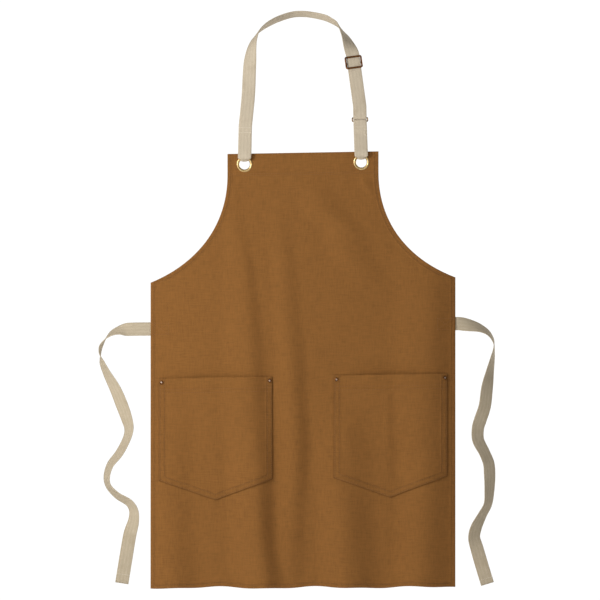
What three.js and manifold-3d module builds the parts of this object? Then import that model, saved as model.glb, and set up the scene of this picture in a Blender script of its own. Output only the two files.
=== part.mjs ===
// A butcher's bib apron in heavy canvas, hanging by its webbing neck strap.
// Millimetres, +Z up. The front of the apron faces -Y, and left and right are as seen from the front.
// The origin is on the inner face of the neck strap, in the middle of the stretch that rests on the neck.

import * as THREE from "three";
import { mergeVertices } from "three/addons/utils/BufferGeometryUtils.js";
import Module from "manifold-3d";

const wasm = await Module();
wasm.setup();

// ---- Canvas body, as it is cut flat -------------------------------------------------------------
const BODY_LENGTH = 826;          // bib top edge to hem
const SKIRT_WIDTH = 579;
const BIB_WIDTH = 287;
const BIB_SIDE = 40;              // straight side of the bib above the armhole curve
const ARMHOLE_DEPTH = 242;        // bib top edge down to the armhole's outer corner
const ARMHOLE_FALL = 100;         // how steeply the armhole curve leaves the bib
const ARMHOLE_RUN = 84.5;         // how far the curve runs in from its outer corner
const ARMHOLE_RISE = 33;          // and how far that run climbs
const CANVAS = 1.2;               // thickness of one layer of canvas
const SEAT = 0.3;                 // gap between pieces that are sewn or pressed together

// ---- How the body hangs -------------------------------------------------------------------------
const BIB_SETBACK = 95;           // the bib hangs this far in front of the back of the neck
const BIB_DROP = 267;             // neck rest down to the bib's top edge
const HANG_TILT = 0.0175;         // the right side hangs a little higher than the left
const HANG_FROM = 120;            // below this depth the body leans back, to hang under its eyelets
const HANG_BACK = 0.0092;
const FOLDS = [
  { at: -262, reach: 62, forward: 7, from: 350 },
  { at: -100, reach: 62, forward: 11, from: 200 },
  { at: -26, reach: 34, forward: 3, from: 150 },
  { at: 74, reach: 62, forward: 7, from: 430 },
  { at: 226, reach: 64, forward: 8, from: 300 },
];

// ---- Facings sewn behind the body ---------------------------------------------------------------
const TOP_FACING_DEPTH = 44;
const ARMHOLE_FACING_WIDTH = 10;
const FACING_INSET = 1.5;         // from the edge of the body

// ---- Patch pockets and their rivets -------------------------------------------------------------
const POCKET_WIDTH = 215;
const POCKET_SIDE = 195;          // mouth to the bottom corners
const POCKET_POINT = 39;          // how far the bottom point drops below the corners
const POCKET_DROP = 424;          // bib top edge down to the pocket's mouth
const POCKET_INSET = 16;          // from the side edge of the body
const POCKET_BULGE = 11;          // how far the mouth stands open
const POCKET_OPEN_HALF = 38;      // half the width that stands fully open
const POCKET_CLOSED_AT = 86;      // from the pocket's centre out to where it lies flat again
const RIVET_INSET = 5;
const RIVET_DROP = 8;             // below the mouth
const RIVET_RADIUS = 3.8;
const RIVET_CAP_HEIGHT = 1.5;
const RIVET_FOOT = 0.9;           // thickness of the rivet's foot behind the body
const SHANK_RADIUS = 1.4;
const SHANK_CLEARANCE = 0.35;

// ---- Eyelets ------------------------------------------------------------------------------------
const EYELET_INSET = 32.5;        // eyelet centre from the side edge of the bib
const EYELET_DROP = 20;           // eyelet centre below the bib's top edge
const EYELET_HOLE = 10;           // radius of the throat at its narrowest
const EYELET_RADIUS = 15;
const EYELET_WALL = 1.6;          // where the rounded throat is thickest
const EYELET_ROLL = 0.7;          // the barrel's end, rolled over the washer
const EYELET_FLANGE = 0.8;
const WASHER_THICKNESS = 0.7;

// ---- Webbing ------------------------------------------------------------------------------------
const WEB_WIDTH = 25.4;
const WEB = 1.8;                  // thickness
const BIGHT_WIDTH = 14;           // the webbing is gathered where it goes through an eyelet
const BIGHT_GAP = 0.5;            // between its edges and the throat
const STITCHED_LAP = 13;          // length of webbing that is sewn back on itself
const LOOP_CLOSED_AT = 53;        // height above the bight where the two legs meet
const LOOP_LEAN = 0.022;          // the left strap leans in towards the neck
const LAYERS_APART = (WEB + SEAT) / 2;

// Half of the eye that the webbing makes through an eyelet: height above the bight, half its spread.
const LOOP_BELLY = [
  [0, 0], [1.1, 4.4], [4.2, 8.2], [9.5, 10.3], [16, 9.8], [26, 7], [37, 3.9], [46, 1.9],
];

// The neck strap's way from the left eyelet over the neck to the right run: how far in from the
// eyelet, the other two coordinates, and how many degrees the webbing has turned from facing front.
const STRAP_LEFT = [
  [7, -86, -158, 0], [10, -73, -95.5, -20], [13.4, -62, -65.5, -50], [18, -52, -48.7, -70],
  [23.8, -41, -38, -88], [31.4, -30, -29.2, -98], [43, -19, -20.2, -107], [64.7, -6.6, -8.8, -112],
  [91.8, 0, -0.2, -113],
];
const STRAP_RIGHT = [
  [96, 0, -0.6, -113], [68, -6, -7, -113], [55, -12, -13.4, -108], [45.3, -19, -20.1, -102],
  [38.7, -29, -28.2, -86], [30.4, -43, -41.9, -63], [25, -53, -54.9, -42], [20.4, -63, -68, -18],
];
const NECK_SLOPE = -113;          // turn of the webbing where it lies on the neck

// The straight run on the right, which carries the slider and ends at the ring.
const RUN_INSET = 16.5;           // top of the run, in from the right eyelet
const RUN_TOP_Y = -71;
const RUN_TOP_Z = -79.5;
const RING_INSET = 2.7;           // ring centre, in from the right eyelet
const RING_RISE = 81;             // ring centre above the right eyelet
const RUN_END = 22;               // the run bends towards the ring this far above its bar

// ---- Metal slider and ring ----------------------------------------------------------------------
const WIRE = 3;                   // slider wire
const RING_WIRE = 2.4;
const WEB_CLEARANCE = 0.6;        // beside the webbing, each side
const SLIDER_HEIGHT = 24.4;
const SLIDER_DROP = 16;           // slider centre below the top of the run
const SLIDER_CORNER = 2.2;
const RING_CORNER = 1.8;
const TAB_LENGTH = 18;            // strap end sewn back below the slider's centre bar
const FOLD_RISE = 8;              // the fold at the ring ends this far above its bar

// ---- Waist ties ---------------------------------------------------------------------------------
const TIE_DROP = 330;             // bib top edge down to the middle of the tie
const TIE_SEWN = 36;              // length sewn to the back of the body
const TIE_HINGE_OUT = 1.5;        // the tie turns on a line this far outside the side edge

// Each tie's free length, from its exit: outwards, back, up, and degrees turned from facing front.
const TIE_LEFT = [
  [0, 0, 0, 0], [5, 0, 0, 0], [19, 0, 0.2, 0], [41.8, 0.5, 0, 10], [58, 1.5, -1.3, 50], [73.2, 3, -6.8, 70],
  [83.8, 5, -16.3, 88], [92.5, 7, -29.6, 102], [94.8, 8, -40.1, 99], [94.4, 8.5, -48.6, 90],
  [91.4, 8, -61.9, 68], [81.7, 6, -83.4, 54], [65.7, 3, -113.4, 33], [53.6, 1, -142.7, 24],
  [44.1, 0, -169.3, 32], [39.9, 0, -187.4, 45], [42.9, 2, -204.8, 53], [57.8, 5, -234.3, 54],
  [76, 8, -257.8, 59], [82.3, 9, -281.2, 62], [78.9, 8, -297.5, 65], [63.1, 5, -314.9, 60],
  [38.6, 1, -330.8, 54], [30.6, -1, -345.6, 46], [31, -1, -364, 34], [37.6, 0, -388.3, 12],
  [45.6, 0, -434.3, 2], [53.4, 0, -482.4, 0],
];
const TIE_RIGHT = [
  [0, 0, 0, 0], [5, 0, 0, 0], [20, 0, -2.5, -20], [43.8, 2, -8.5, -52], [61, 4, -18.4, -70],
  [70.7, 6, -32.8, -81], [72.4, 7, -42.7, -88], [70.4, 7.5, -62.1, -74], [64.3, 5, -93.6, -52],
  [59, 3, -123.1, -28], [54.4, 1, -158.4, -22], [46.2, 0, -183.3, -18], [41.7, 0, -198.5, -22],
  [41.9, 1, -221.3, -26], [53.4, 3, -245, -34], [62, 5, -266.4, -31], [63.9, 6, -286.7, -30],
  [63.5, 5, -317.3, -41], [60.3, 3, -345, -51], [50, 1, -364.6, -48], [37.9, 0, -389.1, -31],
  [34.3, 0, -406.8, -26], [39.6, 1, -427.8, -10], [49.6, 1, -462.6, 0], [59.7, 0, -495.9, 0],
];

// ---- Fineness of the meshes ---------------------------------------------------------------------
const ROUND = 24;                 // segments round an eyelet
const SMALL_ROUND = 14;           // segments round a rivet
const WIRE_SIDES = 10;
const CORNER_STEPS = 4;
const ARMHOLE_STEPS = 10;
const POCKET_COLUMNS = 10;
const FRONT_COLUMNS = 5;          // between the two pockets
const POCKET_ROWS = 9;
const SKIRT_ROWS = 22;

// ---- Materials ----------------------------------------------------------------------------------
const canvas = (r, g, b) => new THREE.MeshStandardMaterial({
  color: new THREE.Color().setRGB(r, g, b, THREE.SRGBColorSpace),
  roughness: 0.92,
  metalness: 0,
});
const metal = (r, g, b, roughness) => new THREE.MeshStandardMaterial({
  color: new THREE.Color().setRGB(r, g, b, THREE.SRGBColorSpace),
  roughness,
  metalness: 1,
});
const duck = () => canvas(0.55, 0.36, 0.18);
const webbing = () => canvas(0.77, 0.71, 0.63);
const paleBrass = () => metal(0.86, 0.76, 0.56, 0.3);
const antiqueCopper = () => metal(0.36, 0.23, 0.12, 0.4);

// ---- Where things lie ---------------------------------------------------------------------------
const SKIRT_HALF = SKIRT_WIDTH / 2;
const BIB_HALF = BIB_WIDTH / 2;
const BIB_Y = -BIB_SETBACK;
const POCKET_CENTRE = SKIRT_HALF - POCKET_INSET - POCKET_WIDTH / 2;
const EYELET_X = BIB_HALF - EYELET_INSET;

// An eyelet's faces, in front of and behind the middle of the body's canvas.
const THROAT_OUTER = EYELET_HOLE + EYELET_WALL;
const FLANGE_BACK = -(CANVAS / 2 + SEAT);
const FLANGE_FRONT = FLANGE_BACK - EYELET_FLANGE;
const WASHER_FRONT = CANVAS / 2 + SEAT + CANVAS + SEAT;
const WASHER_BACK = WASHER_FRONT + WASHER_THICKNESS;
const ROLL_FRONT = WASHER_BACK + SEAT;
const ROLL_BACK = ROLL_FRONT + EYELET_ROLL;
const THROAT_MIDDLE = (FLANGE_FRONT + ROLL_BACK) / 2;
const BIGHT_RISE = Math.sqrt((EYELET_HOLE - BIGHT_GAP) ** 2 - (BIGHT_WIDTH / 2) ** 2) - WEB / 2;
const STRAP_Y = BIB_Y + THROAT_MIDDLE;

const evenly = (from, to, count) =>
  Array.from({ length: count + 1 }, (_, i) => from + ((to - from) * i) / Math.max(count, 1));

// Columns of the body's lattice across the skirt, on the pockets' edges and between them.
const HALF_COLUMNS = [
  ...evenly(POCKET_CENTRE - POCKET_WIDTH / 2, POCKET_CENTRE + POCKET_WIDTH / 2, POCKET_COLUMNS),
  SKIRT_HALF,
];
const COLUMNS = [
  ...HALF_COLUMNS.map((x) => -x).reverse(),
  ...evenly(-HALF_COLUMNS[0], HALF_COLUMNS[0], FRONT_COLUMNS).slice(1, -1),
  ...HALF_COLUMNS,
];

// How far the cloth stands back at one of the lattice's columns.
function rippleAt(across, down) {
  let back = 0;
  for (const fold of FOLDS) {
    const from = Math.min(1, Math.abs(across - fold.at) / fold.reach);
    const growth = THREE.MathUtils.smoothstep(down, fold.from, BODY_LENGTH);
    back -= fold.forward * growth * (1 + Math.cos(Math.PI * from)) / 2;
  }
  return back;
}

// Between two columns the cloth is straight, so what is sewn on lies against it without a gap.
function ripple(across, down) {
  const next = COLUMNS.findIndex((x) => x > across);
  if (next === -1) {
    return rippleAt(COLUMNS.at(-1), down);
  }
  if (next === 0) {
    return rippleAt(COLUMNS[0], down);
  }
  const share = (across - COLUMNS[next - 1]) / (COLUMNS[next] - COLUMNS[next - 1]);
  return THREE.MathUtils.lerp(rippleAt(COLUMNS[next - 1], down), rippleAt(COLUMNS[next], down), share);
}

// A point of the flat pattern, across from the centre line and down from the top edge, as it hangs.
function hung(across, down, behind = 0) {
  const height = -BIB_DROP - down + HANG_TILT * across;
  const leaning = HANG_BACK * Math.max(0, down - HANG_FROM);
  return new THREE.Vector3(across, BIB_Y + leaning + ripple(across, down) + behind, height);
}

// The outline's half width at each lattice row, from the top edge to the hem.
function bodyRows() {
  const armhole = new THREE.CubicBezierCurve(
    new THREE.Vector2(BIB_HALF, BIB_SIDE),
    new THREE.Vector2(BIB_HALF, BIB_SIDE + ARMHOLE_FALL),
    new THREE.Vector2(SKIRT_HALF - ARMHOLE_RUN, ARMHOLE_DEPTH - ARMHOLE_RISE),
    new THREE.Vector2(SKIRT_HALF, ARMHOLE_DEPTH),
  );
  const curve = armhole.getPoints(ARMHOLE_STEPS).map((p) => ({ down: p.y, half: p.x }));
  const skirt = evenly(ARMHOLE_DEPTH, BODY_LENGTH, SKIRT_ROWS).slice(1);
  return [
    { down: 0, half: BIB_HALF },
    { down: BIB_SIDE / 2, half: BIB_HALF },
    ...curve,
    ...skirt.map((down) => ({ down, half: SKIRT_HALF })),
  ];
}

// ---- Mesh tools ---------------------------------------------------------------------------------
function meshOf(points, triangles) {
  const geometry = new THREE.BufferGeometry();
  geometry.setAttribute("position", new THREE.Float32BufferAttribute(points.flatMap((p) => p.toArray()), 3));
  geometry.setIndex(triangles);
  return geometry;
}

function solidOf(geometry) {
  const bare = geometry.clone();
  bare.deleteAttribute("normal");
  bare.deleteAttribute("uv");
  const merged = mergeVertices(bare, 1e-4);
  const mesh = new wasm.Mesh({
    numProp: 3,
    vertProperties: new Float32Array(merged.attributes.position.array),
    triVerts: new Uint32Array(merged.index.array),
  });
  return new wasm.Manifold(mesh);
}

function geometryOf(solid) {
  const mesh = solid.getMesh();
  const geometry = new THREE.BufferGeometry();
  geometry.setAttribute("position", new THREE.BufferAttribute(mesh.vertProperties, 3));
  geometry.setIndex(new THREE.BufferAttribute(mesh.triVerts, 1));
  return geometry;
}

function cut(geometry, tools) {
  return geometryOf(tools.reduce((left, tool) => left.subtract(solidOf(tool)), solidOf(geometry)));
}

function joined(geometries) {
  return geometryOf(geometries.map(solidOf).reduce((all, one) => all.add(one)));
}

// A layer of cloth: grid[row][column] is its middle surface, rows running down and columns to the right.
function layer(grid, thickness) {
  const rows = grid.length;
  const columns = grid[0].length;
  const step = new THREE.Vector3(0, thickness / 2, 0);
  const front = grid.flat().map((p) => p.clone().sub(step));
  const back = grid.flat().map((p) => p.clone().add(step));
  const behind = front.length;
  const at = (row, column) => row * columns + column;
  const triangles = [];
  for (let row = 0; row + 1 < rows; row += 1) {
    for (let column = 0; column + 1 < columns; column += 1) {
      const a = at(row, column);
      const b = at(row + 1, column);
      const c = at(row + 1, column + 1);
      const d = at(row, column + 1);
      triangles.push(a, b, c, a, c, d);
      triangles.push(behind + a, behind + c, behind + b, behind + a, behind + d, behind + c);
    }
  }
  const edge = [
    ...evenly(0, rows - 1, rows - 1).map((row) => at(row, 0)),
    ...evenly(1, columns - 1, columns - 2).map((column) => at(rows - 1, column)),
    ...evenly(rows - 2, 0, rows - 2).map((row) => at(row, columns - 1)),
    ...evenly(columns - 2, 1, columns - 3).map((column) => at(0, column)),
  ];
  edge.forEach((p, i) => {
    const q = edge[(i + 1) % edge.length];
    triangles.push(p, behind + p, behind + q, p, behind + q, q);
  });
  return meshOf([...front, ...back], triangles);
}

// Joins a row of equal loops of points into a tube, open ended with two lids or closed on itself.
function tube(loops, closed = false) {
  const sides = loops[0].length;
  const points = loops.flat();
  const triangles = [];
  const spans = closed ? loops.length : loops.length - 1;
  for (let k = 0; k < spans; k += 1) {
    const here = k * sides;
    const next = ((k + 1) % loops.length) * sides;
    for (let i = 0; i < sides; i += 1) {
      const j = (i + 1) % sides;
      triangles.push(here + i, here + j, next + j, here + i, next + j, next + i);
    }
  }
  if (!closed) {
    const last = (loops.length - 1) * sides;
    for (let i = 1; i + 1 < sides; i += 1) {
      triangles.push(0, i + 1, i, last, last + i, last + i + 1);
    }
  }
  return meshOf(points, triangles);
}

function direction(points, i, closed) {
  const count = points.length;
  const before = closed ? points[(i + count - 1) % count] : points[Math.max(0, i - 1)];
  const after = closed ? points[(i + 1) % count] : points[Math.min(count - 1, i + 1)];
  return after.clone().sub(before).normalize();
}

// A flat band of webbing. Each station has its middle point, the direction across the band, and may
// have its own width and thickness.
function band(stations) {
  const points = stations.map((s) => s.point);
  const loops = stations.map((station, i) => {
    const along = direction(points, i, false);
    const facing = new THREE.Vector3().crossVectors(station.across, along).normalize();
    const across = new THREE.Vector3().crossVectors(along, facing);
    const half = (station.width ?? WEB_WIDTH) / 2;
    const deep = (station.thickness ?? WEB) / 2;
    return [[1, -1], [1, 1], [-1, 1], [-1, -1]].map(([f, a]) =>
      station.point.clone().addScaledVector(facing, f * deep).addScaledVector(across, a * half));
  });
  return tube(loops);
}

// A round wire bent along a path that lies in a plane with the given normal.
function wire(points, normal, radius, closed) {
  const loops = points.map((point, i) => {
    const along = direction(points, i, closed);
    const side = new THREE.Vector3().crossVectors(normal, along).normalize();
    return evenly(0, 2 * Math.PI, WIRE_SIDES).slice(0, -1).map((angle) =>
      point.clone()
        .addScaledVector(side, radius * Math.cos(angle))
        .addScaledVector(normal, radius * Math.sin(angle)));
  });
  return tube(loops, closed);
}

// A rectangle with round corners about the origin of the XY plane.
function roundedFrame(width, height, radius) {
  const corners = [[1, 1, 0], [-1, 1, 90], [-1, -1, 180], [1, -1, 270]];
  return corners.flatMap(([sx, sy, start]) =>
    evenly(start, start + 90, CORNER_STEPS).map((degrees) => {
      const angle = THREE.MathUtils.degToRad(degrees);
      return new THREE.Vector3(
        sx * (width / 2 - radius) + radius * Math.cos(angle),
        sy * (height / 2 - radius) + radius * Math.sin(angle),
        0,
      );
    }));
}

const profile = (pairs) => pairs.map(([r, y]) => new THREE.Vector2(r, y));

// ---- The scene ----------------------------------------------------------------------------------
const apron = new THREE.Group();

function add(name, geometry, material, parent = apron) {
  const mesh = new THREE.Mesh(geometry, material);
  mesh.name = name;
  parent.add(mesh);
  return mesh;
}

// ---- Canvas body --------------------------------------------------------------------------------
const eyeletSeats = [-1, 1].map((side) => ({
  name: side < 0 ? "left" : "right",
  centre: hung(side * EYELET_X, EYELET_DROP),
}));

const pockets = [-1, 1].map((side) => ({
  name: side < 0 ? "left" : "right",
  middle: side * POCKET_CENTRE,
}));

// How far a pocket stands off the body, on top of its seat.
function bulge(pocket, across, down) {
  const out = Math.abs(across - pocket.middle);
  const wide = 1 - THREE.MathUtils.smoothstep(out, POCKET_OPEN_HALF, POCKET_CLOSED_AT);
  const deep = 1 - THREE.MathUtils.smoothstep(down, POCKET_DROP + POCKET_SIDE / 3, POCKET_DROP + POCKET_SIDE);
  return POCKET_BULGE * wide * deep;
}

// A frame on the cloth's surface: its point, and the rotation that turns +Y to the cloth's back.
function clothFrame(across, down) {
  const span = 0.5;
  const right = hung(across + span, down).sub(hung(across - span, down)).normalize();
  const up = hung(across, down - span).sub(hung(across, down + span)).normalize();
  const back = new THREE.Vector3().crossVectors(up, right).normalize();
  const turn = new THREE.Quaternion().setFromUnitVectors(new THREE.Vector3(0, 1, 0), back);
  return { point: hung(across, down), turn };
}

const rivets = pockets.flatMap((pocket) => [-1, 1].map((side) => {
  const across = pocket.middle + side * (POCKET_WIDTH / 2 - RIVET_INSET);
  return {
    name: `rivet_${pocket.name}_pocket_${side < 0 ? "left" : "right"}`,
    frame: clothFrame(across, POCKET_DROP + RIVET_DROP),
  };
}));

function drill(point, turn, radius, segments) {
  const tool = new THREE.CylinderGeometry(radius, radius, 20, segments);
  tool.applyQuaternion(turn);
  return tool.translate(point.x, point.y, point.z);
}

const straight = new THREE.Quaternion();
const eyeletHoles = eyeletSeats.map((seat) => drill(seat.centre, straight, THROAT_OUTER + SEAT, ROUND));
const rivetHoles = rivets.map((rivet) =>
  drill(rivet.frame.point, rivet.frame.turn, SHANK_RADIUS + SHANK_CLEARANCE, SMALL_ROUND));

const bodyGrid = bodyRows().map((row) =>
  COLUMNS.map((x) => hung((x / SKIRT_HALF) * row.half, row.down)));
add("apron_panel", cut(layer(bodyGrid, CANVAS), [...eyeletHoles, ...rivetHoles]), duck());

// ---- Facings ------------------------------------------------------------------------------------
const FACING_BEHIND = CANVAS + SEAT;
const facingHalf = BIB_HALF - FACING_INSET;
const topFacingGrid = [FACING_INSET, TOP_FACING_DEPTH].map((down) =>
  evenly(-facingHalf, facingHalf, FRONT_COLUMNS).map((across) => hung(across, down, FACING_BEHIND)));
add("bib_top_facing", cut(layer(topFacingGrid, CANVAS), eyeletHoles), duck());

// A bias strip along the armhole, between the top facing and the outer corner.
function armholeFacing(side) {
  const rows = bodyRows().filter((row) => row.down > TOP_FACING_DEPTH && row.down <= ARMHOLE_DEPTH);
  const line = rows.map((row) => new THREE.Vector2(row.half, row.down));
  return line.map((point, i) => {
    const before = line[Math.max(0, i - 1)];
    const after = line[Math.min(line.length - 1, i + 1)];
    const along = after.clone().sub(before).normalize();
    const inward = new THREE.Vector2(-along.y, along.x);
    const reach = [FACING_INSET, FACING_INSET + ARMHOLE_FACING_WIDTH];
    const ends = reach.map((far) => point.clone().addScaledVector(inward, far));
    const across = ends.map((p) => hung(side * Math.min(p.x, SKIRT_HALF - FACING_INSET), p.y, FACING_BEHIND));
    return side < 0 ? across : across.reverse();
  });
}
for (const seat of eyeletSeats) {
  const side = seat.name === "left" ? -1 : 1;
  add(`armhole_facing_${seat.name}`, layer(armholeFacing(side), CANVAS), duck());
}

// ---- Pockets ------------------------------------------------------------------------------------
const POCKET_BEFORE = CANVAS + SEAT;
for (const pocket of pockets) {
  const left = pocket.middle - POCKET_WIDTH / 2;
  const columns = evenly(left, left + POCKET_WIDTH, POCKET_COLUMNS);
  const grid = evenly(0, 1, POCKET_ROWS).map((share) => columns.map((across) => {
    const beside = Math.abs(across - pocket.middle) / (POCKET_WIDTH / 2);
    const length = POCKET_SIDE + POCKET_POINT * (1 - beside);
    const down = POCKET_DROP + share * length;
    return hung(across, down, -POCKET_BEFORE - bulge(pocket, across, down));
  }));
  add(`pocket_${pocket.name}`, cut(layer(grid, CANVAS), rivetHoles), duck());
}

// ---- Rivets: a domed cap in front, and a foot with its shank behind --------------------------------
const CAP_BACK = -(CANVAS / 2 + SEAT + CANVAS + SEAT);
const FOOT_FRONT = CANVAS / 2 + SEAT;
for (const rivet of rivets) {
  const group = new THREE.Group();
  group.position.copy(rivet.frame.point);
  group.quaternion.copy(rivet.frame.turn);
  apron.add(group);
  const capTop = CAP_BACK - RIVET_CAP_HEIGHT;
  const cap = new THREE.LatheGeometry(profile([
    [0, capTop], [RIVET_RADIUS * 0.45, capTop], [RIVET_RADIUS * 0.82, capTop + RIVET_CAP_HEIGHT * 0.35],
    [RIVET_RADIUS, CAP_BACK - RIVET_CAP_HEIGHT * 0.3], [RIVET_RADIUS, CAP_BACK], [0, CAP_BACK],
  ]), SMALL_ROUND);
  add(`${rivet.name}_cap`, cap, antiqueCopper(), group);
  const foot = new THREE.LatheGeometry(profile([
    [0, CAP_BACK + SEAT], [SHANK_RADIUS, CAP_BACK + SEAT], [SHANK_RADIUS, FOOT_FRONT],
    [RIVET_RADIUS, FOOT_FRONT], [RIVET_RADIUS * 0.9, FOOT_FRONT + RIVET_FOOT], [0, FOOT_FRONT + RIVET_FOOT],
  ]), SMALL_ROUND);
  add(`${rivet.name}_foot`, foot, antiqueCopper(), group);
}

// ---- Eyelets: a barrel with a rounded throat, rolled over a washer -----------------------------------
const THROAT_ARC = (ROLL_BACK - FLANGE_FRONT) / 2;
const throatArc = evenly(90, -90, 8).map((degrees) => {
  const angle = THREE.MathUtils.degToRad(degrees);
  return [
    EYELET_HOLE + THROAT_ARC * (1 - Math.cos(angle)),
    THROAT_MIDDLE + THROAT_ARC * Math.sin(angle),
  ];
});
for (const seat of eyeletSeats) {
  const barrel = new THREE.LatheGeometry(profile([
    ...throatArc,
    [EYELET_RADIUS - 0.6, FLANGE_FRONT], [EYELET_RADIUS, FLANGE_BACK - 0.3], [EYELET_RADIUS, FLANGE_BACK],
    [THROAT_OUTER, FLANGE_BACK], [THROAT_OUTER, ROLL_FRONT], [THROAT_OUTER + 2, ROLL_FRONT],
    throatArc[0],
  ]), ROUND);
  barrel.translate(seat.centre.x, seat.centre.y, seat.centre.z);
  add(`eyelet_${seat.name}_barrel`, barrel, paleBrass());
  const inner = THROAT_OUTER + SEAT;
  const washer = new THREE.LatheGeometry(profile([
    [inner, WASHER_FRONT], [EYELET_RADIUS, WASHER_FRONT], [EYELET_RADIUS - 0.4, WASHER_BACK],
    [inner, WASHER_BACK], [inner, WASHER_FRONT],
  ]), ROUND);
  washer.translate(seat.centre.x, seat.centre.y, seat.centre.z);
  add(`eyelet_${seat.name}_washer`, washer, paleBrass());
}

// ---- The strap's way through an eyelet --------------------------------------------------------------
const axisTurn = Math.atan(HANG_TILT);
const acrossEyelets = new THREE.Vector3(Math.cos(axisTurn), 0, Math.sin(axisTurn));
const alongUp = new THREE.Vector3(-Math.sin(axisTurn), 0, Math.cos(axisTurn));
const [leftBight, rightBight] = eyeletSeats.map((seat) =>
  new THREE.Vector3(seat.centre.x, STRAP_Y, seat.centre.z).addScaledVector(alongUp, BIGHT_RISE));

// Stations round the eye, up the back leg's top end first, down, through and up the front leg.
function eyeStations(bight, across, lean, upper) {
  const half = [...LOOP_BELLY, ...upper];
  const outline = [
    ...half.slice(1).reverse().map(([height, spread]) => new THREE.Vector2(spread, height)),
    ...half.map(([height, spread]) => new THREE.Vector2(-spread, height)),
  ];
  const curve = new THREE.SplineCurve(outline);
  return curve.getPoints(outline.length * 2).map((p) => {
    const gathered = 1 - THREE.MathUtils.smoothstep(p.y, 1.5, 16);
    return {
      point: new THREE.Vector3(bight.x + lean * p.y, bight.y + p.x, bight.z + p.y),
      across,
      width: THREE.MathUtils.lerp(WEB_WIDTH, BIGHT_WIDTH, gathered),
    };
  });
}

// The direction across the webbing for a given turn from facing front, at a point of its route.
function acrossAt(along, degrees) {
  const front = new THREE.Vector3(0, -1, 0);
  const facing = front.addScaledVector(along, -front.dot(along)).normalize();
  facing.applyAxisAngle(along, THREE.MathUtils.degToRad(degrees));
  return new THREE.Vector3().crossVectors(along, facing);
}

// Stations along a smooth route whose points each carry a turn from facing front.
function routeStations(route, count) {
  const curve = new THREE.CatmullRomCurve3(route.map((r) => r.point), false, "centripetal");
  const turns = new THREE.SplineCurve(route.map((r, i) => new THREE.Vector2(i, r.turn)));
  return evenly(0, 1, count).map((share) => ({
    point: curve.getPoint(share),
    across: acrossAt(curve.getTangent(share), turns.getPoint(share).y),
  }));
}

// ---- Neck strap: left eyelet, neck, right run, ring ---------------------------------------------------
const ringCentre = new THREE.Vector3(
  EYELET_X - RING_INSET, STRAP_Y, eyeletSeats[1].centre.z + RING_RISE);
const FOLD_RADIUS = RING_WIRE / 2 + SEAT + WEB / 2;
const BAR_OFFSET = FOLD_RADIUS + WEB / 2 + SEAT / 2;
const upperBar = ringCentre.clone().addScaledVector(alongUp, BAR_OFFSET);
const lowerBar = ringCentre.clone().addScaledVector(alongUp, -BAR_OFFSET);
const runTop = new THREE.Vector3(EYELET_X - RUN_INSET, RUN_TOP_Y, RUN_TOP_Z);
const runEnd = upperBar.clone().addScaledVector(alongUp, RUN_END);
const runDown = runEnd.clone().sub(runTop).normalize();
const runAcross = acrossAt(runDown, 0);

const leftLegTop = [[LOOP_CLOSED_AT, LAYERS_APART], [LOOP_CLOSED_AT + STITCHED_LAP, LAYERS_APART]];
const leftEye = eyeStations(leftBight, acrossEyelets, LOOP_LEAN, leftLegTop);
const eyeTop = leftEye.at(-1).point;
const neckRest = new THREE.Vector3(0, 0, WEB / 2)
  .applyAxisAngle(new THREE.Vector3(1, 0, 0), THREE.MathUtils.degToRad(90 + NECK_SLOPE));
const overNeck = routeStations([
  { point: eyeTop, turn: 0 },
  ...STRAP_LEFT.map(([inset, y, z, turn]) => ({ point: new THREE.Vector3(inset - EYELET_X, y, z), turn })),
  { point: neckRest, turn: NECK_SLOPE },
  ...STRAP_RIGHT.map(([inset, y, z, turn]) => ({ point: new THREE.Vector3(EYELET_X - inset, y, z), turn })),
  { point: runTop, turn: 0 },
], 60);
const run = evenly(2, runTop.distanceTo(runEnd), 7).map((far) => ({
  point: runTop.clone().addScaledVector(runDown, far),
  across: runAcross,
}));

// The fold round one bar of the ring, from the front leg to the back leg, below or above the bar.
function foldStations(bar, below, rise, across) {
  const arc = evenly(0, 180, 8).map((degrees) => {
    const angle = THREE.MathUtils.degToRad(degrees);
    return bar.clone()
      .add(new THREE.Vector3(0, -FOLD_RADIUS * Math.cos(angle), 0))
      .addScaledVector(alongUp, (below ? -1 : 1) * FOLD_RADIUS * Math.sin(angle));
  });
  const leg = alongUp.clone().multiplyScalar((below ? 1 : -1) * rise);
  const points = [arc[0].clone().add(leg), ...arc, arc.at(-1).clone().add(leg)];
  return points.map((point) => ({ point, across }));
}
const acrossRing = acrossEyelets.clone().negate();
add("neck_strap", band([
  ...leftEye,
  ...overNeck.slice(1),
  ...run,
  ...foldStations(upperBar, true, FOLD_RISE, acrossRing),
]), webbing());

// ---- Slider, with the strap's end sewn round its centre bar -----------------------------------------
const sliderCentre = runTop.clone().addScaledVector(runDown, SLIDER_DROP);
const runFront = new THREE.Vector3().crossVectors(runAcross, runDown);
const sliderGroup = new THREE.Group();
sliderGroup.position.copy(sliderCentre);
sliderGroup.quaternion.setFromRotationMatrix(new THREE.Matrix4().makeBasis(
  runAcross.clone().negate(), runDown.clone().negate(), runFront));
apron.add(sliderGroup);

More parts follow.
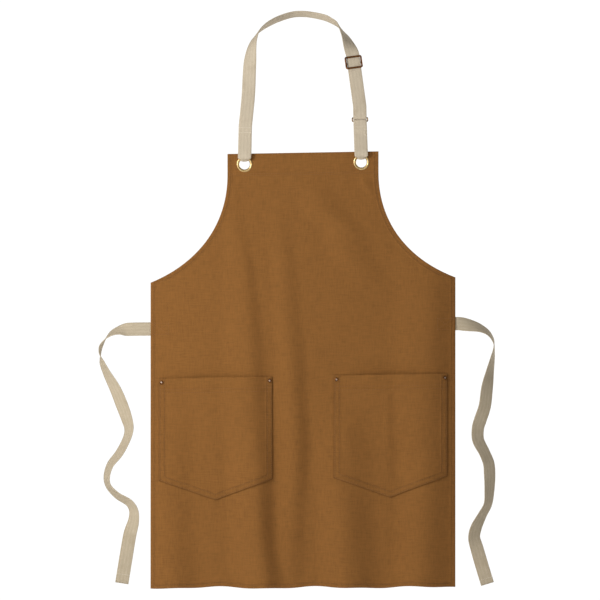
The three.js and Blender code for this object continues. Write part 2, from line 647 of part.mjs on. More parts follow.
const FRAME_WIDTH = WEB_WIDTH + 2 * WEB_CLEARANCE + WIRE;
const FRAME_FRONT = WEB / 2 + SEAT + WIRE / 2;
const BAR_BACK = -(WEB / 2 + SEAT + WEB + SEAT + WIRE / 2);
const sliderFrame = wire(
  roundedFrame(FRAME_WIDTH, SLIDER_HEIGHT - WIRE, SLIDER_CORNER),
  new THREE.Vector3(0, 0, 1), WIRE / 2, true).translate(0, 0, FRAME_FRONT);
const sliderBar = wire([
  new THREE.Vector3(-FRAME_WIDTH / 2, 0, FRAME_FRONT),
  new THREE.Vector3(-FRAME_WIDTH / 2, 0, BAR_BACK + 1),
  new THREE.Vector3(-FRAME_WIDTH / 2 + 0.3, 0, BAR_BACK + 0.3),
  new THREE.Vector3(-FRAME_WIDTH / 2 + 1, 0, BAR_BACK),
  new THREE.Vector3(FRAME_WIDTH / 2 - 1, 0, BAR_BACK),
  new THREE.Vector3(FRAME_WIDTH / 2 - 0.3, 0, BAR_BACK + 0.3),
  new THREE.Vector3(FRAME_WIDTH / 2, 0, BAR_BACK + 1),
  new THREE.Vector3(FRAME_WIDTH / 2, 0, FRAME_FRONT),
], new THREE.Vector3(0, 1, 0), WIRE / 2, false);
add("slider", joined([sliderFrame, sliderBar]), antiqueCopper(), sliderGroup);

const TAB_RADIUS = WIRE / 2 + SEAT + WEB / 2;
const tabArc = evenly(0, 180, 8).map((degrees) => {
  const angle = THREE.MathUtils.degToRad(degrees);
  return new THREE.Vector3(0, TAB_RADIUS * Math.sin(angle), BAR_BACK + TAB_RADIUS * Math.cos(angle));
});
const tabPath = [
  new THREE.Vector3(0, -TAB_LENGTH, tabArc[0].z),
  ...tabArc,
  new THREE.Vector3(0, -TAB_LENGTH / 3, tabArc[0].z - 1.6 * (WEB + SEAT)),
  new THREE.Vector3(0, -TAB_LENGTH * 0.6, tabArc[0].z - (WEB + SEAT)),
  new THREE.Vector3(0, -TAB_LENGTH, tabArc[0].z - (WEB + SEAT)),
];
add("strap_end_tab", band(tabPath.map((point) => ({ point, across: new THREE.Vector3(1, 0, 0) }))),
  webbing(), sliderGroup);

// The strap's way back up from the ring to the slider, behind the main run.
const behindRun = runFront.clone().multiplyScalar(BAR_BACK + TAB_RADIUS);
const returnTop = sliderCentre.clone().addScaledVector(runDown, TAB_LENGTH + SEAT).add(behindRun);
const returnLow = runEnd.clone().add(behindRun);
const returnEnd = upperBar.clone().addScaledVector(alongUp, FOLD_RISE + SEAT)
  .add(new THREE.Vector3(0, FOLD_RADIUS, 0));
add("strap_return_run", band([
  { point: returnTop, across: runAcross },
  ...evenly(0.25, 1, 3).map((share) => ({
    point: returnTop.clone().lerp(returnLow, share),
    across: runAcross,
  })),
  { point: returnLow.clone().lerp(returnEnd, 0.55), across: acrossRing },
  { point: returnEnd, across: acrossRing },
]), webbing());

// ---- Ring, and the short loop from it to the right eyelet --------------------------------------------
const ring = wire(
  roundedFrame(WEB_WIDTH + 2 * WEB_CLEARANCE + RING_WIRE, 2 * BAR_OFFSET, RING_CORNER),
  new THREE.Vector3(0, 0, 1), RING_WIRE / 2, true);
const ringMesh = add("ring", ring, antiqueCopper());
ringMesh.position.copy(ringCentre);
ringMesh.quaternion.setFromRotationMatrix(new THREE.Matrix4().makeBasis(
  acrossEyelets, alongUp, new THREE.Vector3(0, -1, 0)));

// The loop starts in the middle of its back leg, and its end laps over that start from behind.
const barHeight = lowerBar.z - rightBight.z;
const loopLean = (lowerBar.x - rightBight.x) / barHeight;
const lapMiddle = (LOOP_CLOSED_AT + barHeight) / 2;
const rightEye = eyeStations(rightBight, acrossEyelets, loopLean, [
  [LOOP_CLOSED_AT, FOLD_RADIUS], [lapMiddle, FOLD_RADIUS],
]);
const overRing = foldStations(lowerBar, false, 1, acrossEyelets).slice(1, -1);
const lapStations = [[lapMiddle + STITCHED_LAP * 0.6, 0.4], [lapMiddle + 2, 1], [lapMiddle - STITCHED_LAP, 1.1]]
  .map(([height, layers]) => ({
    point: new THREE.Vector3(
      rightBight.x + loopLean * height,
      rightBight.y + FOLD_RADIUS + layers * (WEB + SEAT),
      rightBight.z + height,
    ),
    across: acrossEyelets,
  }));
add("short_loop", band([...rightEye, ...overRing, ...lapStations]), webbing());

// ---- Waist ties: a sewn end behind each side edge, and the free length that turns on it -------------
const TIE_BEHIND = CANVAS / 2 + SEAT + WEB / 2;
for (const [name, side, route] of [["left", -1, TIE_LEFT], ["right", 1, TIE_RIGHT]]) {
  const edge = hung(side * SKIRT_HALF, TIE_DROP, TIE_BEHIND);
  const outward = acrossEyelets.clone().multiplyScalar(side);
  const exit = edge.clone().addScaledVector(outward, TIE_HINGE_OUT);
  const sewn = [-TIE_SEWN, TIE_HINGE_OUT - WEB / 2 - SEAT].map((far) => ({
    point: edge.clone().addScaledVector(outward, far),
    across: alongUp.clone().multiplyScalar(side),
  }));
  add(`tie_end_${name}`, band(sewn), webbing());
  const free = routeStations(route.map(([out, back, up, turn]) => ({
    point: exit.clone().addScaledVector(outward, out).add(new THREE.Vector3(0, back, up)),
    turn,
  })), 64);
  const nose = [0, 30, 60].map((degrees) => {
    const angle = THREE.MathUtils.degToRad(degrees);
    return {
      point: exit.clone().addScaledVector(outward, -Math.cos(angle) * WEB / 2),
      across: free[0].across,
      thickness: Math.max(0.12, Math.sin(angle) * WEB),
    };
  });
  add(`waist_tie_${name}`, band([...nose, ...free]), webbing());
}

export default apron;
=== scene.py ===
"""A butcher's bib apron in brown duck canvas, hanging by its webbing neck strap.

Metres, +Z up, and the front of the apron faces -Y. A place on the cloth is given on its flat pattern: across
from the centre line, positive to the right as seen from the front, and down from the bib's top edge.
"""

import logging
import math
from dataclasses import dataclass
from enum import Enum
from typing import Callable, Iterable, Optional, Sequence

import bmesh
import bpy
from mathutils import Matrix, Vector, noise


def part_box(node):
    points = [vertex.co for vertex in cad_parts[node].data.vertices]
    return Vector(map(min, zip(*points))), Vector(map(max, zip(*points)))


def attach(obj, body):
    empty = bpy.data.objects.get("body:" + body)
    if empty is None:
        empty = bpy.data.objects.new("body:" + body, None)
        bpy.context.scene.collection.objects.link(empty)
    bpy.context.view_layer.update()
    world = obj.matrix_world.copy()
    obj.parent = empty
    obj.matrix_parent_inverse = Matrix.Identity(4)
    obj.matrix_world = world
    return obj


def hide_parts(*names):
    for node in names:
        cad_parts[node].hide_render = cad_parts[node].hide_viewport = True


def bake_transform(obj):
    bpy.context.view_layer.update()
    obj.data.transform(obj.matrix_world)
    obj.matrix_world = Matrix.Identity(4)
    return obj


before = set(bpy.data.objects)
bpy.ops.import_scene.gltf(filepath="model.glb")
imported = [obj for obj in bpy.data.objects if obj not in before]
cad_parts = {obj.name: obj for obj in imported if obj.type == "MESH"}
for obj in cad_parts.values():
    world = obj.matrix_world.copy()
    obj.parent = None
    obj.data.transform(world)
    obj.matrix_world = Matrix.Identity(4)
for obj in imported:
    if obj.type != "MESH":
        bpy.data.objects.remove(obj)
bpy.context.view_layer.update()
log = logging.getLogger("apron")

Pair = tuple[float, float]
Tint = tuple[float, float, float]
MM = 0.001

# ---- Sizes shared by several pieces ----
CANVAS = 1.2 * MM                 # one layer of canvas
WEB = 1.8 * MM                    # thickness of the webbing
WEB_WIDTH = 25.4 * MM
SEAT = 0.3 * MM                   # gap between pieces that are sewn or pressed together
LAYERS_APART = (WEB + SEAT) / 2
THREAD_PROUD = 0.00012            # how far a seam's thread stands out of the cloth
TIE_DROP = 0.330                  # the ties' depth below the bib's top edge
BOX_HALF = 0.0105                 # half the height of the ties' box stitches
BOX_FAR = 0.034                   # the box stitches' inner end, in from the side edge
BOX_NEAR = 0.0035                 # their outer end
ROW_HALF = 0.0108                 # half the length of a stitch row across the webbing
HEAVY_PITCH = 0.0030              # stitch length of the heavy thread in the webbing
HEAVY_THREAD = 0.00045            # half its thickness
STITCH_SHARE = 0.84               # how much of the pitch a stitch covers
FOLD_DEPTH = 2.05                 # how much deeper the folds are than their knots say
UP_TILT = 0.0175                  # the right side hangs a little higher than the left
ACROSS = Vector((1, 0, UP_TILT)).normalized()
ALONG = Vector((-UP_TILT, 0, 1)).normalized()


class Body(Enum):
    """The bodies that the pieces ride on."""

    STRAP = "neck_strap"
    SLIDER = "slider"
    APRON = "apron"
    TIE_LEFT = "tie_left"
    TIE_RIGHT = "tie_right"


class Slot(Enum):
    """The record's material slots."""

    CANVAS = "canvas"
    WEBBING = "webbing"
    EYELETS = "eyelets"
    HARDWARE = "strap_hardware"
    RIVETS = "rivets"


class Side(Enum):
    """A side of the apron as seen from the front, with its sign along X."""

    LEFT = -1
    RIGHT = 1

    @property
    def word(self) -> str:
        """The side's name in small letters."""
        return self.name.lower()


def middle(node: str) -> Vector:
    """The centre of a CAD node's box."""
    low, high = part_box(node)
    return (low + high) / 2


def smooth(value: float, low: float, high: float) -> float:
    """A smooth step from 0 at low to 1 at high."""
    share = min(1.0, max(0.0, (value - low) / (high - low)))
    return share * share * (3 - 2 * share)


def evenly(start: float, stop: float, count: int) -> list[float]:
    """Count + 1 values from start to stop, evenly spaced."""
    return [start + (stop - start) * i / count for i in range(count + 1)]


def curved(knots: Sequence[float] | Sequence[Vector], share: float) -> float | Vector:
    """Reads a smooth curve between the middle two of four knots.

    Args:
        knots: four numbers or four points.
        share: from 0 at the second knot to 1 at the third.

    Returns:
        The number or point there.
    """
    a, b, c, d = knots
    v0, v1 = (c - a) / 2, (d - b) / 2
    cubed = (2 * b - 2 * c + v0 + v1) * share**3
    return cubed + (3 * c - 3 * b - 2 * v0 - v1) * share**2 + v0 * share + b


def between(value: float, knots: Sequence[tuple]) -> list[float]:
    """Reads a row of knots at a value.

    Args:
        value: where to read.
        knots: tuples that start with a rising key, followed by the numbers to blend.

    Returns:
        The numbers at that key, blended smoothly between the two nearest knots.
    """
    if value <= knots[0][0]:
        return list(knots[0][1:])
    for before, after in zip(knots, knots[1:]):
        if value <= after[0]:
            share = smooth(value, before[0], after[0])
            return [a + (b - a) * share for a, b in zip(before[1:], after[1:])]
    return list(knots[-1][1:])


# ---- How the cloth is cut and how it hangs ----
@dataclass(frozen=True)
class Ridge:
    """A soft ridge of the hanging cloth. Each knot: down, across, reach left, reach right, forward."""

    knots: tuple[tuple[float, float, float, float, float], ...]

    def forward(self, across: float, down: float) -> float:
        """How far the ridge stands forward at a place on the pattern.

        Args:
            across: metres right of the centre line.
            down: metres below the bib's top edge.

        Returns:
            Metres forward.
        """
        centre, left, right, height = between(down, self.knots)
        reach = left if across < centre else right
        share = min(1.0, abs(across - centre) / reach)
        return FOLD_DEPTH * height * (1 + math.cos(math.pi * share)) / 2


@dataclass(frozen=True)
class Crease:
    """A short pulled line in the cloth, from one place on the pattern to another."""

    start: Pair
    end: Pair
    width: float
    forward: float

    def lift(self, across: float, down: float) -> float:
        """How far the crease stands forward at a place on the pattern.

        Args:
            across: metres right of the centre line.
            down: metres below the bib's top edge.

        Returns:
            Metres forward.
        """
        line = Vector(self.end) - Vector(self.start)
        place = Vector((across, down)) - Vector(self.start)
        along = place.dot(line) / line.length_squared
        if not -0.1 < along < 1.1:
            return 0.0
        off = abs(place.x * line.y - place.y * line.x) / line.length
        fade = smooth(along, -0.1, 0.3) * (1 - smooth(along, 0.6, 1.1))
        return self.forward * fade * math.exp(-((off / self.width) ** 2))


@dataclass(frozen=True)
class Pattern:
    """The flat pattern of the canvas body and the way it hangs."""

    length: float = 0.826
    skirt_half: float = 0.2895
    bib_half: float = 0.1435
    bib_side: float = 0.040
    armhole_depth: float = 0.242
    armhole_fall: float = 0.100
    armhole_run: float = 0.0845
    armhole_rise: float = 0.033
    bib_y: float = -0.095
    bib_drop: float = 0.267
    hang_from: float = 0.120
    hang_back: float = 0.0092
    bow: float = 0.0080
    ridges: tuple[Ridge, ...] = (
        Ridge((
            (0.050, -0.142, 0.040, 0.024, 0.0), (0.113, -0.132, 0.040, 0.024, 0.0008),
            (0.239, -0.112, 0.050, 0.028, 0.0023), (0.310, -0.106, 0.056, 0.032, 0.0032),
            (0.400, -0.102, 0.060, 0.038, 0.0045), (0.480, -0.099, 0.062, 0.048, 0.0060),
            (0.620, -0.091, 0.062, 0.044, 0.0080), (0.714, -0.088, 0.062, 0.044, 0.0098),
            (0.826, -0.074, 0.070, 0.044, 0.0100),
        )),
        Ridge((
            (0.070, -0.052, 0.030, 0.026, 0.0), (0.252, -0.033, 0.034, 0.030, 0.0020),
            (0.429, -0.022, 0.036, 0.034, 0.0036), (0.556, -0.016, 0.036, 0.034, 0.0044),
            (0.746, -0.024, 0.036, 0.034, 0.0030), (0.826, -0.026, 0.036, 0.036, 0.0018),
        )),
        Ridge((
            (0.430, 0.070, 0.060, 0.060, 0.0), (0.600, 0.074, 0.060, 0.066, 0.0046),
            (0.720, 0.078, 0.060, 0.070, 0.0084), (0.826, 0.084, 0.060, 0.072, 0.0088),
        )),
        Ridge((
            (0.200, 0.244, 0.080, 0.054, 0.0030), (0.280, 0.238, 0.080, 0.060, 0.0052),
            (0.420, 0.236, 0.080, 0.062, 0.0064),
            (0.600, 0.234, 0.064, 0.064, 0.0074), (0.826, 0.226, 0.062, 0.070, 0.0095),
        )),
        Ridge((
            (0.350, -0.262, 0.060, 0.060, 0.0), (0.600, -0.258, 0.060, 0.058, 0.0032),
            (0.826, -0.252, 0.060, 0.060, 0.0068),
        )),
        Ridge((
            (0.045, 0.006, 0.050, 0.046, 0.0), (0.090, 0.030, 0.050, 0.048, 0.0022),
            (0.160, 0.082, 0.055, 0.050, 0.0024), (0.320, 0.150, 0.060, 0.060, 0.0),
        )),
    )
    creases: tuple[Crease, ...] = (
        Crease((0.106, 0.046), (0.138, 0.086), 0.0065, 0.0018),
        Crease((0.110, 0.049), (0.150, 0.042), 0.0040, 0.0018),
        Crease((0.084, 0.040), (0.062, 0.090), 0.008, 0.0005),
        Crease((-0.122, 0.050), (-0.132, 0.110), 0.007, 0.0005),
        Crease((-0.105, 0.045), (-0.070, 0.100), 0.010, 0.0004),
        Crease((0.270, 0.300), (0.200, 0.390), 0.010, 0.0006),
        Crease((0.262, 0.350), (0.150, 0.412), 0.009, 0.0006),
        Crease((-0.270, 0.360), (-0.150, 0.400), 0.012, 0.0005),
    )

    def half_width(self, down: float) -> float:
        """Half the width of the body at a depth.

        Args:
            down: metres below the bib's top edge.

        Returns:
            Metres from the centre line to the edge.
        """
        if down <= self.bib_side:
            return self.bib_half
        if down >= self.armhole_depth:
            return self.skirt_half
        low, high = 0.0, 1.0
        for _ in range(30):
            share = (low + high) / 2
            low, high = (share, high) if self._armhole(share)[1] < down else (low, share)
        return self._armhole((low + high) / 2)[0]

    def _armhole(self, share: float) -> Pair:
        """A point of the armhole curve, across and down.

        Args:
            share: from 0 at the start to 1 at the end.

        Returns:
            Across and down.
        """
        rest = 1 - share
        weights = (rest**3, 3 * rest**2 * share, 3 * rest * share**2, share**3)
        across = (self.bib_half, self.bib_half, self.skirt_half - self.armhole_run, self.skirt_half)
        down = (
            self.bib_side, self.bib_side + self.armhole_fall,
            self.armhole_depth - self.armhole_rise, self.armhole_depth,
        )
        return (
            sum(w * a for w, a in zip(weights, across)),
            sum(w * d for w, d in zip(weights, down)),
        )

    def inside(self, across: float, down: float) -> float:
        """The distance from the nearest hemmed edge, roughly, growing inwards. The top is a plain fold.

        Args:
            across: metres right of the centre line.
            down: metres below the bib's top edge.

        Returns:
            Metres in from the edge.
        """
        step = 0.001
        slope = (self.half_width(down + step) - self.half_width(down - step)) / (2 * step)
        if abs(down - self.armhole_depth) < 2 * step:
            slope = 0.0
        beside = (self.half_width(down) - abs(across)) / math.hypot(1, slope)
        return min(beside, down + 0.012, self.length - down)

    def flat_area(self) -> float:
        """The area of the cut piece in square metres."""
        strip = self.length / 400
        return sum(2 * self.half_width((i + 0.5) * strip) * strip for i in range(400))

    def unevenness(self, across: float, down: float) -> float:
        """Small soft bumps that any hung canvas has.

        Args:
            across: metres right of the centre line.
            down: metres below the bib's top edge.

        Returns:
            Metres forward.
        """
        broad = noise.noise(Vector((across * 14, down * 9, 1.7)))
        fine = noise.noise(Vector((across * 38, down * 24, 5.1)))
        return (0.0007 * broad + 0.00025 * fine) * smooth(down, 0.04, 0.16)

    def hung(self, across: float, down: float, behind: float = 0.0) -> Vector:
        """Where a place on the pattern hangs.

        Args:
            across: metres right of the centre line.
            down: metres below the bib's top edge.
            behind: metres behind the middle of the canvas.

        Returns:
            The point in the apron's own frame.
        """
        back = self.bib_y + self.hang_back * max(0.0, down - self.hang_from)
        back -= sum(ridge.forward(across, down) for ridge in self.ridges)
        back -= sum(crease.lift(across, down) for crease in self.creases)
        back -= self.unevenness(across, down)
        back -= self.bow * (1 - (across / self.skirt_half) ** 2) * smooth(down, 0.10, 0.36)
        edge = smooth(down, 0.60, self.length)
        curl = 0.0016 * math.sin(across * 33 + 0.6) * edge + 0.0009 * math.sin(across * 71) * edge
        height = -self.bib_drop - down + UP_TILT * across * (1 - 0.85 * edge) + curl
        return Vector((across, back + behind, height))

    def normal(self, across: float, down: float) -> Vector:
        """The direction out of the cloth's front at a place on the pattern.

        Args:
            across: metres right of the centre line.
            down: metres below the bib's top edge.

        Returns:
            A unit vector.
        """
        step = 0.001
        right = self.hung(across + step, down) - self.hung(across - step, down)
        up = self.hung(across, down - step) - self.hung(across, down + step)
        return right.cross(up).normalized()


PATTERN = Pattern()


# ---- Shader maths ----
class Shade:
    """One output socket of a material's nodes, so that maths on it reads as Python."""

    def __init__(self, finish: "Nodes", socket: bpy.types.NodeSocket) -> None:
        """Wraps a socket of the given tree."""
        self.finish = finish
        self.socket = socket

    def _math(self, operation: str, *values: "float | Shade") -> "Shade":
        """Adds one Math node."""
        return self.finish.add("ShaderNodeMath", {"operation": operation}, dict(enumerate(values)))

    def __add__(self, other: "float | Shade") -> "Shade":
        """Self plus other."""
        return self._math("ADD", self, other)

    __radd__ = __add__

    def __mul__(self, other: "float | Shade") -> "Shade":
        """Self times other."""
        return self._math("MULTIPLY", self, other)

    __rmul__ = __mul__

    def __sub__(self, other: "float | Shade") -> "Shade":
        """Self minus other."""
        return self._math("SUBTRACT", self, other)

    def __rsub__(self, other: float) -> "Shade":
        """Other minus self."""
        return self._math("SUBTRACT", other, self)

    def __truediv__(self, other: "float | Shade") -> "Shade":
        """Self over other."""
        return self._math("DIVIDE", self, other)

    def __rtruediv__(self, other: float) -> "Shade":
        """Other over self."""
        return self._math("DIVIDE", other, self)

    def sine(self) -> "Shade":
        """The sine of the value."""
        return self._math("SINE", self)

    def size(self) -> "Shade":
        """The value without its sign."""
        return self._math("ABSOLUTE", self)

    def zigzag(self, width: float) -> "Shade":
        """A zigzag from 0 up to width and back."""
        return self._math("PINGPONG", self, width)

    def most(self, other: "float | Shade") -> "Shade":
        """The larger of the two."""
        return self._math("MAXIMUM", self, other)

    def step(self, low: float, high: float) -> "Shade":
        """A smooth step from 0 at low to 1 at high.

        Args:
            low: where the step starts.
            high: where it ends.

        Returns:
            The step.
        """
        return self.finish.add(
            "ShaderNodeMapRange", {"interpolation_type": "SMOOTHSTEP"}, {0: self, 1: low, 2: high}
        )

    def row(self, at: float, width: float) -> "Shade":
        """A soft line where the value is at, 1 in its middle and 0 beyond width."""
        return 1 - (self - at).size().step(0.0, width)


class Nodes:
    """Builds the nodes of one material."""

    def __init__(self, name: str) -> None:
        """Starts a material with an empty Principled surface.

        Args:
            name: the material's name.
        """
        self.material = bpy.data.materials.new(name)
        self.material.use_nodes = True
        self.tree = self.material.node_tree
        self.tree.nodes.clear()
        self.surface = self.tree.nodes.new("ShaderNodeBsdfPrincipled")
        output = self.tree.nodes.new("ShaderNodeOutputMaterial")
        self.tree.links.new(self.surface.outputs[0], output.inputs[0])

    def add(
        self, kind: str, settings: dict[str, object], inputs: dict[object, object], output: object = 0
    ) -> Shade:
        """Adds a node.

        Args:
            kind: the node's type.
            settings: its own settings, set first.
            inputs: values or Shades by input name or number.
            output: the output to return, by name or number.

        Returns:
            The chosen output.
        """
        node = self.tree.nodes.new(kind)
        for key, value in settings.items():
            setattr(node, key, value)
        for key, value in inputs.items():
            self.feed(node.inputs[key], value)
        return Shade(self, node.outputs[output])

    def feed(self, socket: bpy.types.NodeSocket, value: object) -> None:
        """Links a Shade to a socket, or sets its value.

        Args:
            socket: the input.
            value: a Shade, a number, a colour or a vector.
        """
        if isinstance(value, Shade):
            self.tree.links.new(value.socket, socket)
        elif isinstance(value, tuple) and len(value) == 3 and socket.type == "RGBA":
            socket.default_value = (*value, 1.0)
        else:
            socket.default_value = value

    def axes(self, vector: Shade) -> tuple[Shade, Shade, Shade]:
        """The three parts of a vector.

        Args:
            vector: the vector.

        Returns:
            Its X, Y and Z.
        """
        node = self.tree.nodes.new("ShaderNodeSeparateXYZ")
        self.tree.links.new(vector.socket, node.inputs[0])
        return tuple(Shade(self, out) for out in node.outputs)

    def pattern(self) -> Shade:
        """The piece's own pattern coordinates, in metres."""
        return self.add("ShaderNodeUVMap", {"uv_map": "Pattern"}, {})

    def place(self) -> Shade:
        """The object's coordinates, in metres."""
        return self.add("ShaderNodeTexCoord", {}, {}, "Object")

    def number(self, name: str) -> Shade:
        """A number stored on the mesh's points."""
        return self.add("ShaderNodeAttribute", {"attribute_name": name}, {}, "Fac")

    def cloud(self, vector: Shade, scale: tuple[float, float, float], detail: float = 3.0) -> Shade:
        """Noise from 0 to 1 with the given number of spots in a metre along each axis."""
        spread = self.add("ShaderNodeVectorMath", {"operation": "MULTIPLY"}, {0: vector, 1: scale})
        return self.add("ShaderNodeTexNoise", {}, {"Vector": spread, "Scale": 1.0, "Detail": detail}, "Fac")

    def blend(self, share: "float | Shade", first: object, second: object) -> Shade:
        """A colour between two colours.

        Args:
            share: how much of the second, from 0 to 1.
            first: a colour or a Shade.
            second: a colour or a Shade.

        Returns:
            The blended colour.
        """
        node = self.tree.nodes.new("ShaderNodeMix")
        node.data_type = "RGBA"
        for socket, value in zip((node.inputs[0], node.inputs[6], node.inputs[7]), (share, first, second)):
            self.feed(socket, value)
        return Shade(self, node.outputs[2])

    def relief(self, height: Shade, depth: float, strength: float = 1.0) -> None:
        """Feeds a height from 0 to 1, depth metres deep, to the surface's normal.

        Args:
            height: the height.
            depth: metres from low to high.
            strength: how strongly it shows.
        """
        normal = self.add(
            "ShaderNodeBump", {}, {"Height": height, "Distance": depth, "Strength": strength}, "Normal"
        )
        self.feed(self.surface.inputs["Normal"], normal)

    def dress(self, **inputs: object) -> bpy.types.Material:
        """Sets the surface's inputs by name, with _ for a space, and returns the material.

        Args:
            inputs: values or Shades by input name.

        Returns:
            The finished material.
        """
        for key, value in inputs.items():
            self.feed(self.surface.inputs[key.replace("_", " ")], value)
        return self.material


def tint(red: int, green: int, blue: int) -> Tint:
    """A colour given in screen values from 0 to 255, as linear light.

    Args:
        red: from 0 to 255.
        green: from 0 to 255.
        blue: from 0 to 255.

    Returns:
        The colour.
    """
    return tuple(
        c / 12.92 if c <= 0.04045 else ((c + 0.055) / 1.055) ** 2.4
        for c in (red / 255, green / 255, blue / 255)
    )


# ---- Finishes ----
@dataclass(frozen=True)
class DuckCanvas:
    """Heavy plain-woven cotton, brown; painted shade darkens its seams' grooves and the puckers beside their
    stitches.

    Args:
        name: the material's name.
        seams: distances of the stitch rows in from the edge, in metres.
        fold: distance of the turned-under edge, in metres.
        rim: how much painted shadow darkens the very edge, from 0 to 1.
    """

    name: str
    seams: tuple[float, ...] = (0.0068,)
    fold: float = 0.0095
    rim: float = 0.0
    light: Tint = tint(142, 95, 45)
    dark: Tint = tint(106, 68, 29)
    # deep is the painted shade colour: for the seams' grooves, the puckers and the shadow along a rim.
    deep: Tint = tint(70, 43, 20)
    thread_pitch: float = 0.00062

    def make(self) -> bpy.types.Material:
        """Builds the canvas.

        Returns:
            The material.
        """
        nodes = Nodes(self.name)
        cloth = nodes.pattern()
        across, along, _ = nodes.axes(cloth)
        turn = 2 * math.pi / self.thread_pitch
        weave = (across * turn).sine() * (along * turn).sine() * 0.5 + 0.5
        warp = nodes.cloud(cloth, (1500, 70, 1), 2.0)
        weft = nodes.cloud(cloth, (70, 1500, 1), 2.0)
        mottle = nodes.cloud(cloth, (22, 17, 1), 4.0)
        patch = nodes.cloud(cloth, (120, 95, 1), 3.0)
        edge = nodes.number("edge")
        seam = edge.row(self.seams[0], 0.0013)
        for distance in self.seams[1:]:
            seam = seam.most(edge.row(distance, 0.0013))
        allowance = 1 - edge.step(self.fold, self.fold + 0.0015)
        pucker = nodes.cloud(cloth, (210, 210, 1), 2.0) * allowance
        slubs = nodes.cloud(cloth, (430, 46, 1), 3.0) + nodes.cloud(cloth, (46, 430, 1), 3.0)
        tone = weave * 0.14 + (warp + weft) * 0.24 + slubs * 0.38 + mottle * 0.10 + patch * 0.06
        colour = nodes.blend(tone.step(0.34, 0.98), self.dark, self.light)
        # Painted shade in the grooves of the stitch rows.
        colour = nodes.blend(seam * 0.26, colour, self.deep)
        # Painted shade in the puckers beside the seams.
        colour = nodes.blend((pucker - 0.35).step(0.0, 0.5) * 0.20, colour, self.deep)
        worn = 1 - edge.step(0.0003, 0.0018)
        colour = nodes.blend(worn * 0.22, colour, self.light)
        # Painted shadow along the very edge, where the piece stands off the cloth below it.
        if self.rim:
            colour = nodes.blend((1 - edge.step(0.0004, 0.0011)) * self.rim, colour, self.deep)
        height = weave * 0.22 + (warp + weft + slubs) * 0.14 + pucker * 0.5 + allowance * 0.25 - seam * 0.6
        nodes.relief(height, 0.0005, 0.9)
        rough = 0.84 + tone * 0.12
        return nodes.dress(Base_Color=colour, Roughness=rough, Specular_IOR_Level=0.22)


@dataclass(frozen=True)
class HerringboneWebbing:
    """Natural cotton webbing, woven in narrow herringbone columns between two firm edges."""

    name: str = "natural_webbing"
    light: Tint = tint(216, 203, 181)
    dark: Tint = tint(178, 163, 139)
    # This colour serves real stains, and painted shade in the grooves beside the firm edges.
    soiled: Tint = tint(160, 142, 114)
    column: float = 0.0032
    rib: float = 0.00125

    def make(self) -> bpy.types.Material:
        """Builds the webbing.

        Returns:
            The material.
        """
        nodes = Nodes(self.name)
        tape = nodes.pattern()
        across, along, _ = nodes.axes(tape)
        slant = along + across.zigzag(self.column)
        ribs = (slant * (2 * math.pi / self.rib)).sine() * 0.5 + 0.5
        fibres = nodes.cloud(tape, (1400, 90, 1), 2.0)
        stain = nodes.cloud(tape, (45, 30, 1), 4.0)
        firm = across.size().step(0.0108, 0.0118)
        columns = (across * (math.pi / self.column)).sine() * 0.5 + 0.5
        tone = ribs * (1 - firm) * 0.40 + columns * 0.09 + fibres * 0.45 + firm * 0.18
        colour = nodes.blend(tone.step(0.1, 0.9), self.dark, self.light)
        colour = nodes.blend(stain.step(0.50, 0.80) * 0.30, colour, self.soiled)
        # Painted shade in the groove beside each firm edge.
        groove = across.size().row(0.0107, 0.0006)
        colour = nodes.blend(groove * 0.35, colour, self.soiled)
        nodes.relief(ribs * (1 - firm) * 0.6 + fibres * 0.4 + firm * 0.4 - groove * 0.5, 0.0003, 0.5)
        return nodes.dress(Base_Color=colour, Roughness=0.86 + stain * 0.1, Specular_IOR_Level=0.2)


@dataclass(frozen=True)
class SewingThread:
    """Twisted sewing thread."""

    name: str
    colour: Tint
    shade: Tint

    def make(self) -> bpy.types.Material:
        """Builds the thread.

        Returns:
            The material.
        """
        nodes = Nodes(self.name)
        fibre = nodes.cloud(nodes.place(), (2600, 2600, 2600), 2.0)
        colour = nodes.blend(fibre, self.shade, self.colour)
        nodes.relief(fibre, 0.00015, 0.6)
        return nodes.dress(Base_Color=colour, Roughness=0.7 + fibre * 0.1)


@dataclass(frozen=True)
class WornMetal:
    """Plated metal whose plating is uneven, rubbed bright here and dull there."""

    name: str
    bright: Tint
    dull: Tint
    polish: float

    def make(self) -> bpy.types.Material:
        """Builds the metal.

        Returns:
            The material.
        """
        nodes = Nodes(self.name)
        place = nodes.place()
        rubbed = nodes.cloud(place, (420, 420, 420), 4.0)
        speck = nodes.cloud(place, (1900, 1900, 1900), 3.0)
        share = (rubbed * 0.7 + speck * 0.3).step(0.34, 0.66)
        colour = nodes.blend(share, self.dull, self.bright)
        nodes.relief(speck, 0.00008, 0.5)
        rough = self.polish + (1 - share) * 0.22
        return nodes.dress(Base_Color=colour, Metallic=1.0, Roughness=rough)


@dataclass(frozen=True)
class PaleFloor:
    """The pale floor below the apron."""

    name: str = "pale_floor"
    colour: Tint = (0.93, 0.93, 0.93)

    def make(self) -> bpy.types.Material:
        """Builds the floor's finish.

        Returns:
            The material.
        """
        nodes = Nodes(self.name)
        grain = nodes.cloud(nodes.place(), (6, 6, 6), 2.0)
        colour = nodes.blend(grain * 0.2, self.colour, (0.9, 0.9, 0.9))
        return nodes.dress(
            Base_Color=colour, Roughness=0.95, Emission_Color=(1.0, 1.0, 1.0), Emission_Strength=0.22
        )


